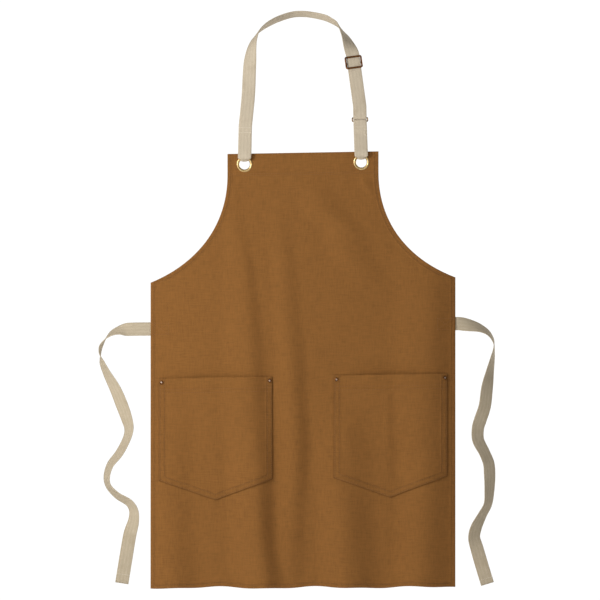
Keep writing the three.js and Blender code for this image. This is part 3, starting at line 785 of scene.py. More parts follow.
@dataclass(frozen=True)
class Finishes:
    """Every material of the apron, made once."""

    body: bpy.types.Material
    pocket: bpy.types.Material
    facing: bpy.types.Material
    webbing: bpy.types.Material
    tie_webbing: bpy.types.Material
    brass: bpy.types.Material
    copper: bpy.types.Material
    bronze: bpy.types.Material
    rubbed: bpy.types.Material
    brown_thread: bpy.types.Material
    cream_thread: bpy.types.Material

    @classmethod
    def make(cls) -> "Finishes":
        """Makes them all.

        Returns:
            All the finishes.
        """
        return cls(
            body=DuckCanvas("duck_canvas_body").make(),
            # The pocket's rim is painted shadow along its sewn edges.
            pocket=DuckCanvas("duck_canvas_pocket", seams=(0.0024, 0.0104), fold=0.0125, rim=0.55).make(),
            facing=DuckCanvas("duck_canvas_facing", seams=(0.0020,), fold=0.0030).make(),
            webbing=HerringboneWebbing().make(),
            # The ties get a darker copy of the strap's webbing: painted shade.
            tie_webbing=HerringboneWebbing("tie_webbing", tint(203, 189, 165), tint(164, 149, 124)).make(),
            brass=WornMetal("pale_brass", tint(224, 197, 142), tint(186, 154, 100), 0.28).make(),
            copper=WornMetal("antique_copper", tint(140, 92, 52), tint(66, 40, 22), 0.32).make(),
            bronze=WornMetal("tan_bronze", tint(168, 138, 98), tint(92, 68, 44), 0.36).make(),
            rubbed=WornMetal("rubbed_centre", tint(226, 208, 190), tint(150, 122, 100), 0.26).make(),
            brown_thread=SewingThread("brown_thread", tint(156, 108, 54), tint(120, 80, 36)).make(),
            cream_thread=SewingThread("cream_thread", tint(240, 232, 216), tint(200, 188, 166)).make(),
        )


# ---- Making meshes ----
def piece(
    name: str,
    points: Sequence[Vector],
    faces: Sequence[Sequence[int]],
    material: bpy.types.Material,
    uvs: Optional[Sequence[Pair]] = None,
    numbers: Optional[dict[str, Sequence[float]]] = None,
) -> bpy.types.Object:
    """Makes an object at the origin from points and faces.

    Args:
        name: the object's name.
        points: its points in the apron's frame.
        faces: its faces, as numbers of points.
        material: its material.
        uvs: pattern coordinates of each point.
        numbers: named numbers of each point.

    Returns:
        The new object, smooth shaded.
    """
    mesh = bpy.data.meshes.new(name)
    mesh.from_pydata([tuple(p) for p in points], [], [tuple(f) for f in faces])
    mesh.materials.append(material)
    if uvs is not None:
        layer = mesh.uv_layers.new(name="Pattern")
        flat = [c for loop in mesh.loops for c in uvs[loop.vertex_index]]
        layer.data.foreach_set("uv", flat)
    for key, values in (numbers or {}).items():
        mesh.attributes.new(key, "FLOAT", "POINT").data.foreach_set("value", list(values))
    mesh.polygons.foreach_set("use_smooth", [True] * len(mesh.polygons))
    mesh.update()
    obj = bpy.data.objects.new(name, mesh)
    bpy.context.scene.collection.objects.link(obj)
    return obj


def settle(obj: bpy.types.Object, body: Body, slot: Slot, *nodes: str) -> bpy.types.Object:
    """Makes a piece ride on its body and stand for its CAD nodes, and logs it.

    Args:
        obj: the piece.
        body: the body it rides on.
        slot: its material slot; not used.
        nodes: the CAD nodes it stands for, if any.

    Returns:
        The same piece.
    """
    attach(obj, body.value)
    if nodes:
        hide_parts(*nodes)
    log.info("%s rides on %s", obj.name, body.value)
    return obj


def thicken(obj: bpy.types.Object, thickness: float, bevel: float = 0.0003) -> bpy.types.Object:
    """Gives a cloth surface its thickness, evenly on both sides, and soft rims.

    Args:
        obj: the surface.
        thickness: the cloth's thickness.
        bevel: the rims' width.

    Returns:
        The same object.
    """
    solid = obj.modifiers.new("thickness", "SOLIDIFY")
    solid.thickness = thickness
    solid.offset = 0
    rim = obj.modifiers.new("soft rims", "BEVEL")
    rim.width = bevel
    rim.segments = 1
    rim.limit_method = "ANGLE"
    rim.angle_limit = math.radians(60)
    return obj


def cloth(
    name: str,
    rows: Sequence[Sequence[tuple[Vector, Pair, float]]],
    material: bpy.types.Material,
    thickness: float,
    drop: Callable[[Pair], bool] = lambda place: False,
) -> bpy.types.Object:
    """Makes a layer of cloth from a grid.

    Args:
        name: the piece's name.
        rows: grid rows from the top, each from left to right: point, place on the pattern, distance in
            from the edge.
        material: the cloth's finish.
        thickness: the layer's thickness.
        drop: says whether a face whose middle is at a place is left out.

    Returns:
        The finished piece.
    """
    wide = len(rows[0])
    flat = [cell for row in rows for cell in row]
    faces = []
    for i in range(len(rows) - 1):
        for j in range(wide - 1):
            face = (i * wide + j, (i + 1) * wide + j, (i + 1) * wide + j + 1, i * wide + j + 1)
            centre = sum((Vector(flat[k][1]) for k in face), Vector((0, 0))) / 4
            if not drop(tuple(centre)):
                faces.append(face)
    used = sorted({k for face in faces for k in face})
    order = {k: n for n, k in enumerate(used)}
    cells = [flat[k] for k in used]
    obj = piece(
        name, [c[0] for c in cells], [[order[k] for k in face] for face in faces], material,
        [(c[1][0], -c[1][1]) for c in cells], {"edge": [c[2] for c in cells]},
    )
    return thicken(obj, thickness)


@dataclass(frozen=True)
class Station:
    """One place along a webbing: its middle, the way across it, and its size there."""

    point: Vector
    across: Vector
    width: float = WEB_WIDTH
    thickness: float = WEB
    cup: float = 0.0


@dataclass(frozen=True)
class Ribbon:
    """Webbing swept along stations, with rounded edges."""

    stations: tuple[Station, ...]
    shape: tuple[Pair, ...] = (
        (-1.0, 0.25), (-0.975, 0.78), (-0.88, 1.0), (-0.55, 1.0), (0.0, 1.0),
        (0.55, 1.0), (0.88, 1.0), (0.975, 0.78), (1.0, 0.25),
    )

    def piece(self, name: str, material: bpy.types.Material) -> bpy.types.Object:
        """Builds the webbing as one closed piece.

        Args:
            name: the piece's name.
            material: its finish.

        Returns:
            The webbing.
        """
        points, uvs, faces = [], [], []
        travelled = 0.0
        centres = [s.point for s in self.stations]
        loop = [(a, d, 1) for a, d in self.shape] + [(a, d, -1) for a, d in reversed(self.shape)]
        for i, station in enumerate(self.stations):
            if i:
                travelled += (centres[i] - centres[i - 1]).length
            along = (centres[min(i + 1, len(centres) - 1)] - centres[max(i - 1, 0)]).normalized()
            facing = station.across.cross(along).normalized()
            across = along.cross(facing)
            for a, deep, sign in loop:
                sag = -station.cup * a * a
                offset = sign * deep * station.thickness / 2 + sag
                points.append(station.point + across * (a * station.width / 2) + facing * offset)
                uvs.append((a * station.width / 2, travelled))
        sides = len(loop)
        for i in range(len(self.stations) - 1):
            for k in range(sides):
                n = (k + 1) % sides
                faces.append((i * sides + k, i * sides + n, (i + 1) * sides + n, (i + 1) * sides + k))
        last = (len(self.stations) - 1) * sides
        for k in range(len(self.shape) - 1):
            far = sides - 1 - k
            faces.append((far, far - 1, k + 1, k))
            faces.append((last + k, last + k + 1, last + far - 1, last + far))
        return piece(name, points, faces, material, uvs)


class Route:
    """A smooth way through points, the same as the CAD model's."""

    def __init__(self, points: Sequence[Vector], turns: Sequence[float]) -> None:
        """Takes the points and the webbing's turn from facing front at each, in degrees."""
        self.points = [Vector(p) for p in points]
        self.turns = list(turns)

    def _neighbours(self, share: float) -> tuple[int, float]:
        """The span that a share of the way lies in, and how far along it.

        Args:
            share: from 0 at the start to 1 at the end.

        Returns:
            The span's number, and the share of it.
        """
        place = share * (len(self.points) - 1)
        span = min(int(place), len(self.points) - 2)
        return span, place - span

    def at(self, share: float) -> Vector:
        """The point at a share of the way.

        Args:
            share: from 0 at the start to 1 at the end.

        Returns:
            The point.
        """
        i, t = self._neighbours(share)
        pts = self.points
        p1, p2 = pts[i], pts[i + 1]
        p0 = pts[i - 1] if i else p1 * 2 - p2
        p3 = pts[i + 2] if i + 2 < len(pts) else p2 * 2 - p1
        d0, d1, d2 = (math.sqrt((b - a).length) for a, b in ((p0, p1), (p1, p2), (p2, p3)))
        m1 = ((p1 - p0) / d0 - (p2 - p0) / (d0 + d1) + (p2 - p1) / d1) * d1
        m2 = ((p2 - p1) / d1 - (p3 - p1) / (d1 + d2) + (p3 - p2) / d2) * d1
        square, cube = t * t, t * t * t
        return (
            p1 * (2 * cube - 3 * square + 1) + m1 * (cube - 2 * square + t)
            + p2 * (3 * square - 2 * cube) + m2 * (cube - square)
        )

    def turn(self, share: float) -> float:
        """The webbing's turn at a share of the way, in degrees.

        Args:
            share: from 0 at the start to 1 at the end.

        Returns:
            Degrees from facing front.
        """
        i, t = self._neighbours(share)
        last = len(self.turns) - 1
        return curved([self.turns[min(max(k, 0), last)] for k in (i - 1, i, i + 1, i + 2)], t)

    def stations(self, count: int) -> list[Station]:
        """Stations evenly spread over the way.

        Args:
            count: the number of spans.

        Returns:
            Count + 1 stations.
        """
        made = []
        for share in evenly(0, 1, count):
            step = 0.0002
            along = (self.at(min(1, share + step)) - self.at(max(0, share - step))).normalized()
            made.append(Station(self.at(share), across_at(along, self.turn(share))))
        return made


def across_at(along: Vector, degrees: float) -> Vector:
    """The way across webbing that runs along a direction, turned from facing front by some degrees.

    Args:
        along: the webbing's direction.
        degrees: its turn from facing front.

    Returns:
        A unit vector.
    """
    front = Vector((0, -1, 0))
    facing = (front - along * front.dot(along)).normalized()
    facing = Matrix.Rotation(math.radians(degrees), 3, along) @ facing
    return along.cross(facing)


def spun(
    name: str,
    profile: Sequence[Pair],
    centre: Vector,
    axis: Vector,
    steps: int,
    material: bpy.types.Material,
) -> bpy.types.Object:
    """Spins a profile round an axis.

    Args:
        name: the piece's name.
        profile: radius and height pairs, which start and end on the axis or close on themselves.
        centre: the point where the height is 0.
        axis: the direction of growing height.
        steps: segments round.
        material: the finish.

    Returns:
        The piece, with its faces outwards.
    """
    side = axis.orthogonal().normalized()
    other = axis.cross(side)
    closed = (Vector(profile[0]) - Vector(profile[-1])).length < 1e-9
    rings = profile[:-1] if closed else profile
    points, starts = [], []
    for radius, height in rings:
        starts.append(len(points))
        count = steps if radius > 1e-9 else 1
        for k in range(count):
            angle = 2 * math.pi * k / steps
            out = side * math.cos(angle) + other * math.sin(angle)
            points.append(centre + axis * height + out * radius)
    sizes = [steps if r > 1e-9 else 1 for r, _ in rings]
    faces = []
    pairs = list(zip(range(len(rings)), range(1, len(rings))))
    if closed:
        pairs.append((len(rings) - 1, 0))
    for a, b in pairs:
        for k in range(steps):
            n = (k + 1) % steps
            first = [starts[a] + (k if sizes[a] > 1 else 0), starts[a] + (n if sizes[a] > 1 else 0)]
            second = [starts[b] + (n if sizes[b] > 1 else 0), starts[b] + (k if sizes[b] > 1 else 0)]
            face = list(dict.fromkeys(first + second))
            if len(face) > 2:
                faces.append(face)
    return outward(piece(name, points, faces, material))


def outward(obj: bpy.types.Object) -> bpy.types.Object:
    """Turns a closed piece's faces outwards.

    Args:
        obj: the piece.

    Returns:
        The same piece.
    """
    work = bmesh.new()
    work.from_mesh(obj.data)
    bmesh.ops.remove_doubles(work, verts=work.verts, dist=1e-7)
    bmesh.ops.recalc_face_normals(work, faces=work.faces)
    work.to_mesh(obj.data)
    work.free()
    return obj


def merged(name: str, parts: Sequence[bpy.types.Object]) -> bpy.types.Object:
    """Joins pieces of one body into one object.

    Args:
        name: the object's name.
        parts: the pieces to join.

    Returns:
        The first piece, which now holds them all.
    """
    with bpy.context.temp_override(
        active_object=parts[0], selected_objects=list(parts), selected_editable_objects=list(parts)
    ):
        bpy.ops.object.join()
    parts[0].name = name
    parts[0].data.name = name
    return parts[0]


def bent_wire(
    name: str,
    path: Sequence[Vector],
    normal: Vector,
    radius: float,
    closed: bool,
    material: bpy.types.Material,
) -> bpy.types.Object:
    """Bends a round wire along a path in a plane.

    Args:
        name: the piece's name.
        path: the wire's middle.
        normal: the plane's normal.
        radius: half the wire's thickness.
        closed: whether the wire's ends meet.
        material: the finish.

    Returns:
        The wire.
    """
    sides, count = 20, len(path)
    points, faces = [], []
    for i, point in enumerate(path):
        before = path[(i - 1) % count] if closed else path[max(i - 1, 0)]
        after = path[(i + 1) % count] if closed else path[min(i + 1, count - 1)]
        side = normal.cross((after - before).normalized()).normalized()
        for k in range(sides):
            angle = 2 * math.pi * k / sides
            points.append(point + side * (radius * math.cos(angle)) + normal * (radius * math.sin(angle)))
    for i in range(count if closed else count - 1):
        n = (i + 1) % count
        for k in range(sides):
            m = (k + 1) % sides
            faces.append((i * sides + k, i * sides + m, n * sides + m, n * sides + k))
    if not closed:
        faces.append(tuple(range(sides)))
        faces.append(tuple((count - 1) * sides + k for k in range(sides)))
    return outward(piece(name, points, faces, material))


def rounded_frame(width: float, height: float, radius: float, steps: int = 8) -> list[Pair]:
    """The outline of a rectangle with round corners about the origin.

    Args:
        width: the whole width.
        height: the whole height.
        radius: the corners' radius.
        steps: segments in a corner.

    Returns:
        Places in turn round the outline.
    """
    corners = ((1, 1, 0), (-1, 1, 90), (-1, -1, 180), (1, -1, 270))
    return [
        (
            sx * (width / 2 - radius) + radius * math.cos(math.radians(angle)),
            sy * (height / 2 - radius) + radius * math.sin(math.radians(angle)),
        )
        for sx, sy, start in corners
        for angle in evenly(start, start + 90, steps)
    ]


# ---- Stitches ----
class StitchRows:
    """Rows of stitches, laid along lines by geometry nodes."""

    def __init__(self) -> None:
        """Builds the node tree once."""
        self.tree = bpy.data.node_groups.new("stitch_rows", "GeometryNodeTree")
        side = self.tree.interface
        side.new_socket("Geometry", in_out="INPUT", socket_type="NodeSocketGeometry")
        self.inputs = {
            name: side.new_socket(name, in_out="INPUT", socket_type=kind).identifier
            for name, kind in (
                ("Pitch", "NodeSocketFloat"), ("Stitch", "NodeSocketFloat"), ("Thread", "NodeSocketFloat"),
                ("Finish", "NodeSocketMaterial"), ("Seed", "NodeSocketInt"),
            )
        }
        side.new_socket("Geometry", in_out="OUTPUT", socket_type="NodeSocketGeometry")
        self._build()

    def _node(self, kind: str, **settings: object) -> bpy.types.Node:
        """Adds a node with its settings.

        Args:
            kind: the node's type.
            settings: its settings by name.

        Returns:
            The node.
        """
        node = self.tree.nodes.new(kind)
        for key, value in settings.items():
            setattr(node, key, value)
        return node

    def _build(self) -> None:
        """Joins the nodes: lines, resampled, with a small capsule at each point."""
        given = self._node("NodeGroupInput")
        line = self._node("GeometryNodeMeshToCurve")
        spaced = self._node("GeometryNodeResampleCurve", mode="LENGTH")
        along = self._node("GeometryNodeInputTangent")
        aim = self._node("FunctionNodeAlignRotationToVector", axis="Z")
        ball = self._node("GeometryNodeMeshUVSphere")
        ball.inputs["Segments"].default_value = 6
        ball.inputs["Rings"].default_value = 4
        size = self._node("ShaderNodeCombineXYZ")
        half = self._node("ShaderNodeMath", operation="MULTIPLY")
        half.inputs[1].default_value = 0.5
        shaped = self._node("GeometryNodeTransform")
        uneven = self._node("FunctionNodeRandomValue", data_type="FLOAT_VECTOR")
        uneven.inputs[0].default_value = (0.88, 0.88, 0.9)
        uneven.inputs[1].default_value = (1.08, 1.08, 1.06)
        laid = self._node("GeometryNodeInstanceOnPoints")
        real = self._node("GeometryNodeRealizeInstances")
        dressed = self._node("GeometryNodeSetMaterial")
        result = self._node("NodeGroupOutput")
        ball.inputs["Radius"].default_value = 1.0
        for source, output, target, socket in (
            (given, "Geometry", line, "Mesh"),
            (line, "Curve", spaced, "Curve"),
            (given, "Pitch", spaced, "Length"),
            (along, 0, aim, "Vector"),
            (given, "Stitch", half, 0),
            (given, "Thread", size, 0),
            (given, "Thread", size, 1),
            (half, 0, size, 2),
            (ball, "Mesh", shaped, "Geometry"),
            (size, 0, shaped, "Scale"),
            (given, "Seed", uneven, "Seed"),
            (spaced, "Curve", laid, "Points"),
            (shaped, "Geometry", laid, "Instance"),
            (aim, "Rotation", laid, "Rotation"),
            (uneven, 0, laid, "Scale"),
            (laid, "Instances", real, "Geometry"),
            (real, "Geometry", dressed, "Geometry"),
            (given, "Finish", dressed, "Material"),
            (dressed, "Geometry", result, "Geometry"),
        ):
            self.tree.links.new(source.outputs[output], target.inputs[socket])

    def sew(
        self,
        name: str,
        lines: Iterable[Sequence[Vector]],
        finish: bpy.types.Material,
        pitch: float = 0.0034,
        thread: float = 0.00032,
        seed: int = 1,
    ) -> bpy.types.Object:
        """Sews along lines.

        Args:
            name: the piece's name.
            lines: rows of points on the cloth's surface.
            finish: the thread's material.
            pitch: length of one stitch with its gap.
            thread: half the thread's thickness.
            seed: for the stitches' small unevenness.

        Returns:
            One plain mesh of all the stitches.
        """
        mesh = bpy.data.meshes.new(name + "_lines")
        points, edges = [], []
        for row in lines:
            edges += [(len(points) + k, len(points) + k + 1) for k in range(len(row) - 1)]
            points += [tuple(p) for p in row]
        mesh.from_pydata(points, edges, [])
        source = bpy.data.objects.new(name + "_lines", mesh)
        bpy.context.scene.collection.objects.link(source)
        modifier = source.modifiers.new("stitches", "NODES")
        modifier.node_group = self.tree
        stitch = pitch * STITCH_SHARE
        values = {"Pitch": pitch, "Stitch": stitch, "Thread": thread, "Finish": finish, "Seed": seed}
        for key, value in values.items():
            modifier[self.inputs[key]] = value
        depsgraph = bpy.context.evaluated_depsgraph_get()
        made = bpy.data.meshes.new_from_object(source.evaluated_get(depsgraph))
        made.name = name
        made.polygons.foreach_set("use_smooth", [True] * len(made.polygons))
        bpy.data.objects.remove(source)
        obj = bpy.data.objects.new(name, made)
        bpy.context.scene.collection.objects.link(obj)
        return obj


# ---- The canvas body ----
@dataclass
class CanvasBody:
    """The canvas body with its hems, facings and seams."""

    finishes: Finishes
    stitches: StitchRows
    columns: int = 144
    row_height: float = 0.0041
    hem_width: float = 0.0095
    hem_inset: float = 0.0002
    hem_layer: float = 0.0010
    hem_stitch: float = 0.0068
    back_thread: float = 0.0011
    corner_slope: float = 2.56
    top_facing: float = 0.044
    armhole_facing: float = 0.010
    inset: float = 0.0015
    hole_radius: float = 0.0124
    body_margin: float = 0.0019
    facing_margin: float = 0.0014
    behind: float = CANVAS + SEAT

    def eyelets(self) -> list[Pair]:
        """The eyelets' places on the pattern."""
        return [(side.value * 0.111, 0.020) for side in Side]

    def depths(self) -> list[float]:
        """The depths of the grid's rows, one of them at the armhole's outer corner.

        Returns:
            Growing depths in metres.
        """
        upper = round(PATTERN.armhole_depth / self.row_height)
        lower = round((PATTERN.length - PATTERN.armhole_depth) / self.row_height)
        return evenly(0, PATTERN.armhole_depth, upper) + evenly(
            PATTERN.armhole_depth, PATTERN.length, lower
        )[1:]

    def rounded(self, across: float, down: float, margin: float) -> Pair:
        """A grid point's place, moved onto an eyelet hole's rim when it is close to it.

        Args:
            across: metres right of the centre line.
            down: metres below the bib's top edge.
            margin: how far out of the hole a point still moves.

        Returns:
            Across and down.
        """
        for hole_across, hole_down in self.eyelets():
            off = Vector((across - hole_across, down - hole_down))
            if 0 < off.length < self.hole_radius + margin:
                off = off.normalized() * self.hole_radius
                return hole_across + off.x, hole_down + off.y
        return across, down

    def in_hole(self, place: Pair) -> bool:
        """Whether a face's middle lies in an eyelet's hole."""
        inside = self.hole_radius - 0.0002
        return any((Vector(place) - Vector(hole)).length < inside for hole in self.eyelets())

    def panel(self) -> bpy.types.Object:
        """The canvas itself.

        Returns:
            The canvas.
        """
        rows = []
        for down in self.depths():
            row = []
            for share in evenly(-1, 1, self.columns):
                across, depth = self.rounded(share * PATTERN.half_width(down), down, self.body_margin)
                row.append((PATTERN.hung(across, depth), (across, depth), PATTERN.inside(across, depth)))
            rows.append(row)
        return cloth("apron_body", rows, self.finishes.body, CANVAS, self.in_hole)

    def strip(
        self,
        name: str,
        line: Sequence[Pair],
        inward: Sequence[Pair],
        width: float,
        inset: float,
        behind: float,
        thickness: float,
    ) -> bpy.types.Object:
        """A narrow strip of canvas behind an edge.

        Args:
            name: the piece's name.
            line: places along the edge.
            inward: the direction into the cloth at each place.
            width: the strip's width.
            inset: its distance in from the edge.
            behind: its distance behind the body's middle.
            thickness: its thickness.

        Returns:
            The strip.
        """
        rows = []
        for (across, down), (dx, dy) in zip(line, inward):
            row = []
            for share in evenly(0, 1, 4):
                reach = inset + width * share
                spot = (across + dx * reach, down + dy * reach)
                row.append((PATTERN.hung(*spot, behind), spot, min(share, 1 - share) * width))
            rows.append(row)
        return cloth(name, rows, self.finishes.facing, thickness)

    def hems(self) -> list[bpy.types.Object]:
        """The turned-back hems down the sides and along the bottom.

        Returns:
            The hems.
        """
        made = []
        half, low = PATTERN.skirt_half, PATTERN.length
        for side in Side:
            line = [(side.value * half, d) for d in evenly(PATTERN.armhole_depth + 0.004, low - 0.001, 150)]
            made.append(self.strip(
                f"side_hem_{side.word}", line, [(-side.value, 0)] * len(line), self.hem_width,
                self.hem_inset, CANVAS, self.hem_layer,
            ))
        line = [(a, low) for a in evenly(-half + self.hem_width, half - self.hem_width, 150)]
        made.append(self.strip(
            "bottom_hem", line, [(0, -1)] * len(line), self.hem_width, self.hem_inset, CANVAS, self.hem_layer
        ))
        return made

    def edge_line(self, side: Side, start: float, stop: float, count: int) -> tuple[list[Pair], list[Pair]]:
        """Places along a side's edge between two depths, and the inward direction at each.

        Args:
            side: the side.
            start: the upper depth.
            stop: the lower depth.
            count: the number of spans.

        Returns:
            The places and the directions.
        """
        line, inward = [], []
        for down in evenly(start, stop, count):
            slope = (PATTERN.half_width(down + 0.0005) - PATTERN.half_width(down - 0.0005)) / 0.001
            if down > PATTERN.armhole_depth - 0.001:
                slope = self.corner_slope if stop <= PATTERN.armhole_depth else 0.0
            size = math.hypot(1, slope)
            line.append((side.value * PATTERN.half_width(down), down))
            inward.append((-side.value / size, slope / size))
        return line, inward

    def facings(self) -> list[tuple[bpy.types.Object, str]]:
        """The facing behind the bib's top and the bias facings behind the armholes.

        Returns:
            Each facing with the CAD node it stands for.
        """
        half = PATTERN.bib_half - self.inset
        rows = []
        for down in evenly(self.inset, self.top_facing, 26):
            row = []
            for across in evenly(-half, half, 144):
                spot = self.rounded(across, down, self.facing_margin)
                into = min(half - abs(across), down - self.inset, self.top_facing - down)
                row.append((PATTERN.hung(*spot, self.behind), spot, into))
            rows.append(row)
        made = [(cloth("top_facing", rows, self.finishes.facing, CANVAS, self.in_hole), "bib_top_facing")]
        for side in Side:
            line, inward = self.edge_line(side, self.top_facing + 0.003, PATTERN.armhole_depth - 0.0035, 90)
            strip = self.strip(
                f"armhole_binding_{side.word}", line, inward, self.armhole_facing, self.inset,
                self.behind, CANVAS,
            )
            made.append((strip, f"armhole_facing_{side.word}"))
        return made

    def on(self, places: Iterable[Pair], front: bool) -> list[Vector]:
        """Points on the front or back surface at places of the pattern.

        Args:
            places: places on the pattern.
            front: whether they are on the front.

        Returns:
            The points.
        """
        lift = CANVAS / 2 + THREAD_PROUD
        out = lift if front else -lift - self.back_thread
        return [PATTERN.hung(a, d) + PATTERN.normal(a, d) * out for a, d in places]

    def seam_places(self) -> list[list[Pair]]:
        """The body's stitch rows as places on the pattern.

        Returns:
            The rows.
        """
        half, low, row = PATTERN.skirt_half, PATTERN.length, self.hem_stitch
        lines = [[(a, low - row) for a in evenly(-half + 0.001, half - 0.001, 220)]]
        for side in Side:
            beside = side.value * (half - row)
            lines.append([(beside, d) for d in evenly(PATTERN.armhole_depth + 0.004, low - 0.001, 220)])
            line, inward = self.edge_line(side, row, PATTERN.armhole_depth, 130)
            lines.append([(a + x * row, d + y * row) for (a, d), (x, y) in zip(line, inward)])
        bib = PATTERN.bib_half
        for down in (self.top_facing - 0.0055, self.top_facing - 0.0022):
            lines.append([(a, down) for a in evenly(-bib + 0.002, bib - 0.002, 120)])
        return lines

    def tie_boxes(self) -> list[list[Pair]]:
        """The box stitches that hold the ties' ends.

        Returns:
            The rows as places on the pattern.
        """
        boxes = []
        for side in Side:
            far, near, half = PATTERN.skirt_half - BOX_FAR, PATTERN.skirt_half - BOX_NEAR, BOX_HALF
            corners = [(far, -half), (near, -half), (near, half), (far, half), (far, -half)]
            crosses = [[(far, -half), (near, half)], [(far, half), (near, -half)]]
            for path in [corners, *crosses]:
                places = []
                for (x0, y0), (x1, y1) in zip(path, path[1:]):
                    places += [
                        (side.value * (x0 + (x1 - x0) * t), TIE_DROP + y0 + (y1 - y0) * t)
                        for t in evenly(0, 1, 10)
                    ]
                boxes.append(places)
        return boxes

    def build(self) -> None:
        """Makes the body and everything sewn into it."""
        panel = settle(self.panel(), Body.APRON, Slot.CANVAS, "apron_panel")
        others = [settle(hem, Body.APRON, Slot.CANVAS) for hem in self.hems()]
        others += [settle(obj, Body.APRON, Slot.CANVAS, node) for obj, node in self.facings()]
        lines = self.seam_places()
        sewn = [self.on(line, True) for line in lines + self.tie_boxes()]
        front = self.stitches.sew("seams_front", sewn, self.finishes.brown_thread, seed=3)
        back = self.stitches.sew(
            "seams_back", [self.on(line, False) for line in lines], self.finishes.brown_thread, seed=4
        )
        others += [settle(obj, Body.APRON, Slot.CANVAS) for obj in (front, back)]
        PATTERN.flat_area()


# ---- Pockets ----
# The pulled lines in each pocket, besides those it takes from the body.
POCKET_CREASES = {
    Side.LEFT: (
        Crease((-0.085, 0.540), (-0.112, 0.585), 0.010, 0.0012),
        Crease((-0.240, 0.560), (-0.225, 0.630), 0.010, 0.0008),
    ),
    Side.RIGHT: (
        Crease((0.160, 0.420), (0.163, 0.640), 0.0095, 0.0016),
        Crease((0.236, 0.452), (0.172, 0.540), 0.008, 0.0011),
        Crease((0.205, 0.560), (0.190, 0.630), 0.008, 0.0009),
        Crease((0.075, 0.520), (0.100, 0.610), 0.010, 0.0009),
    ),
}


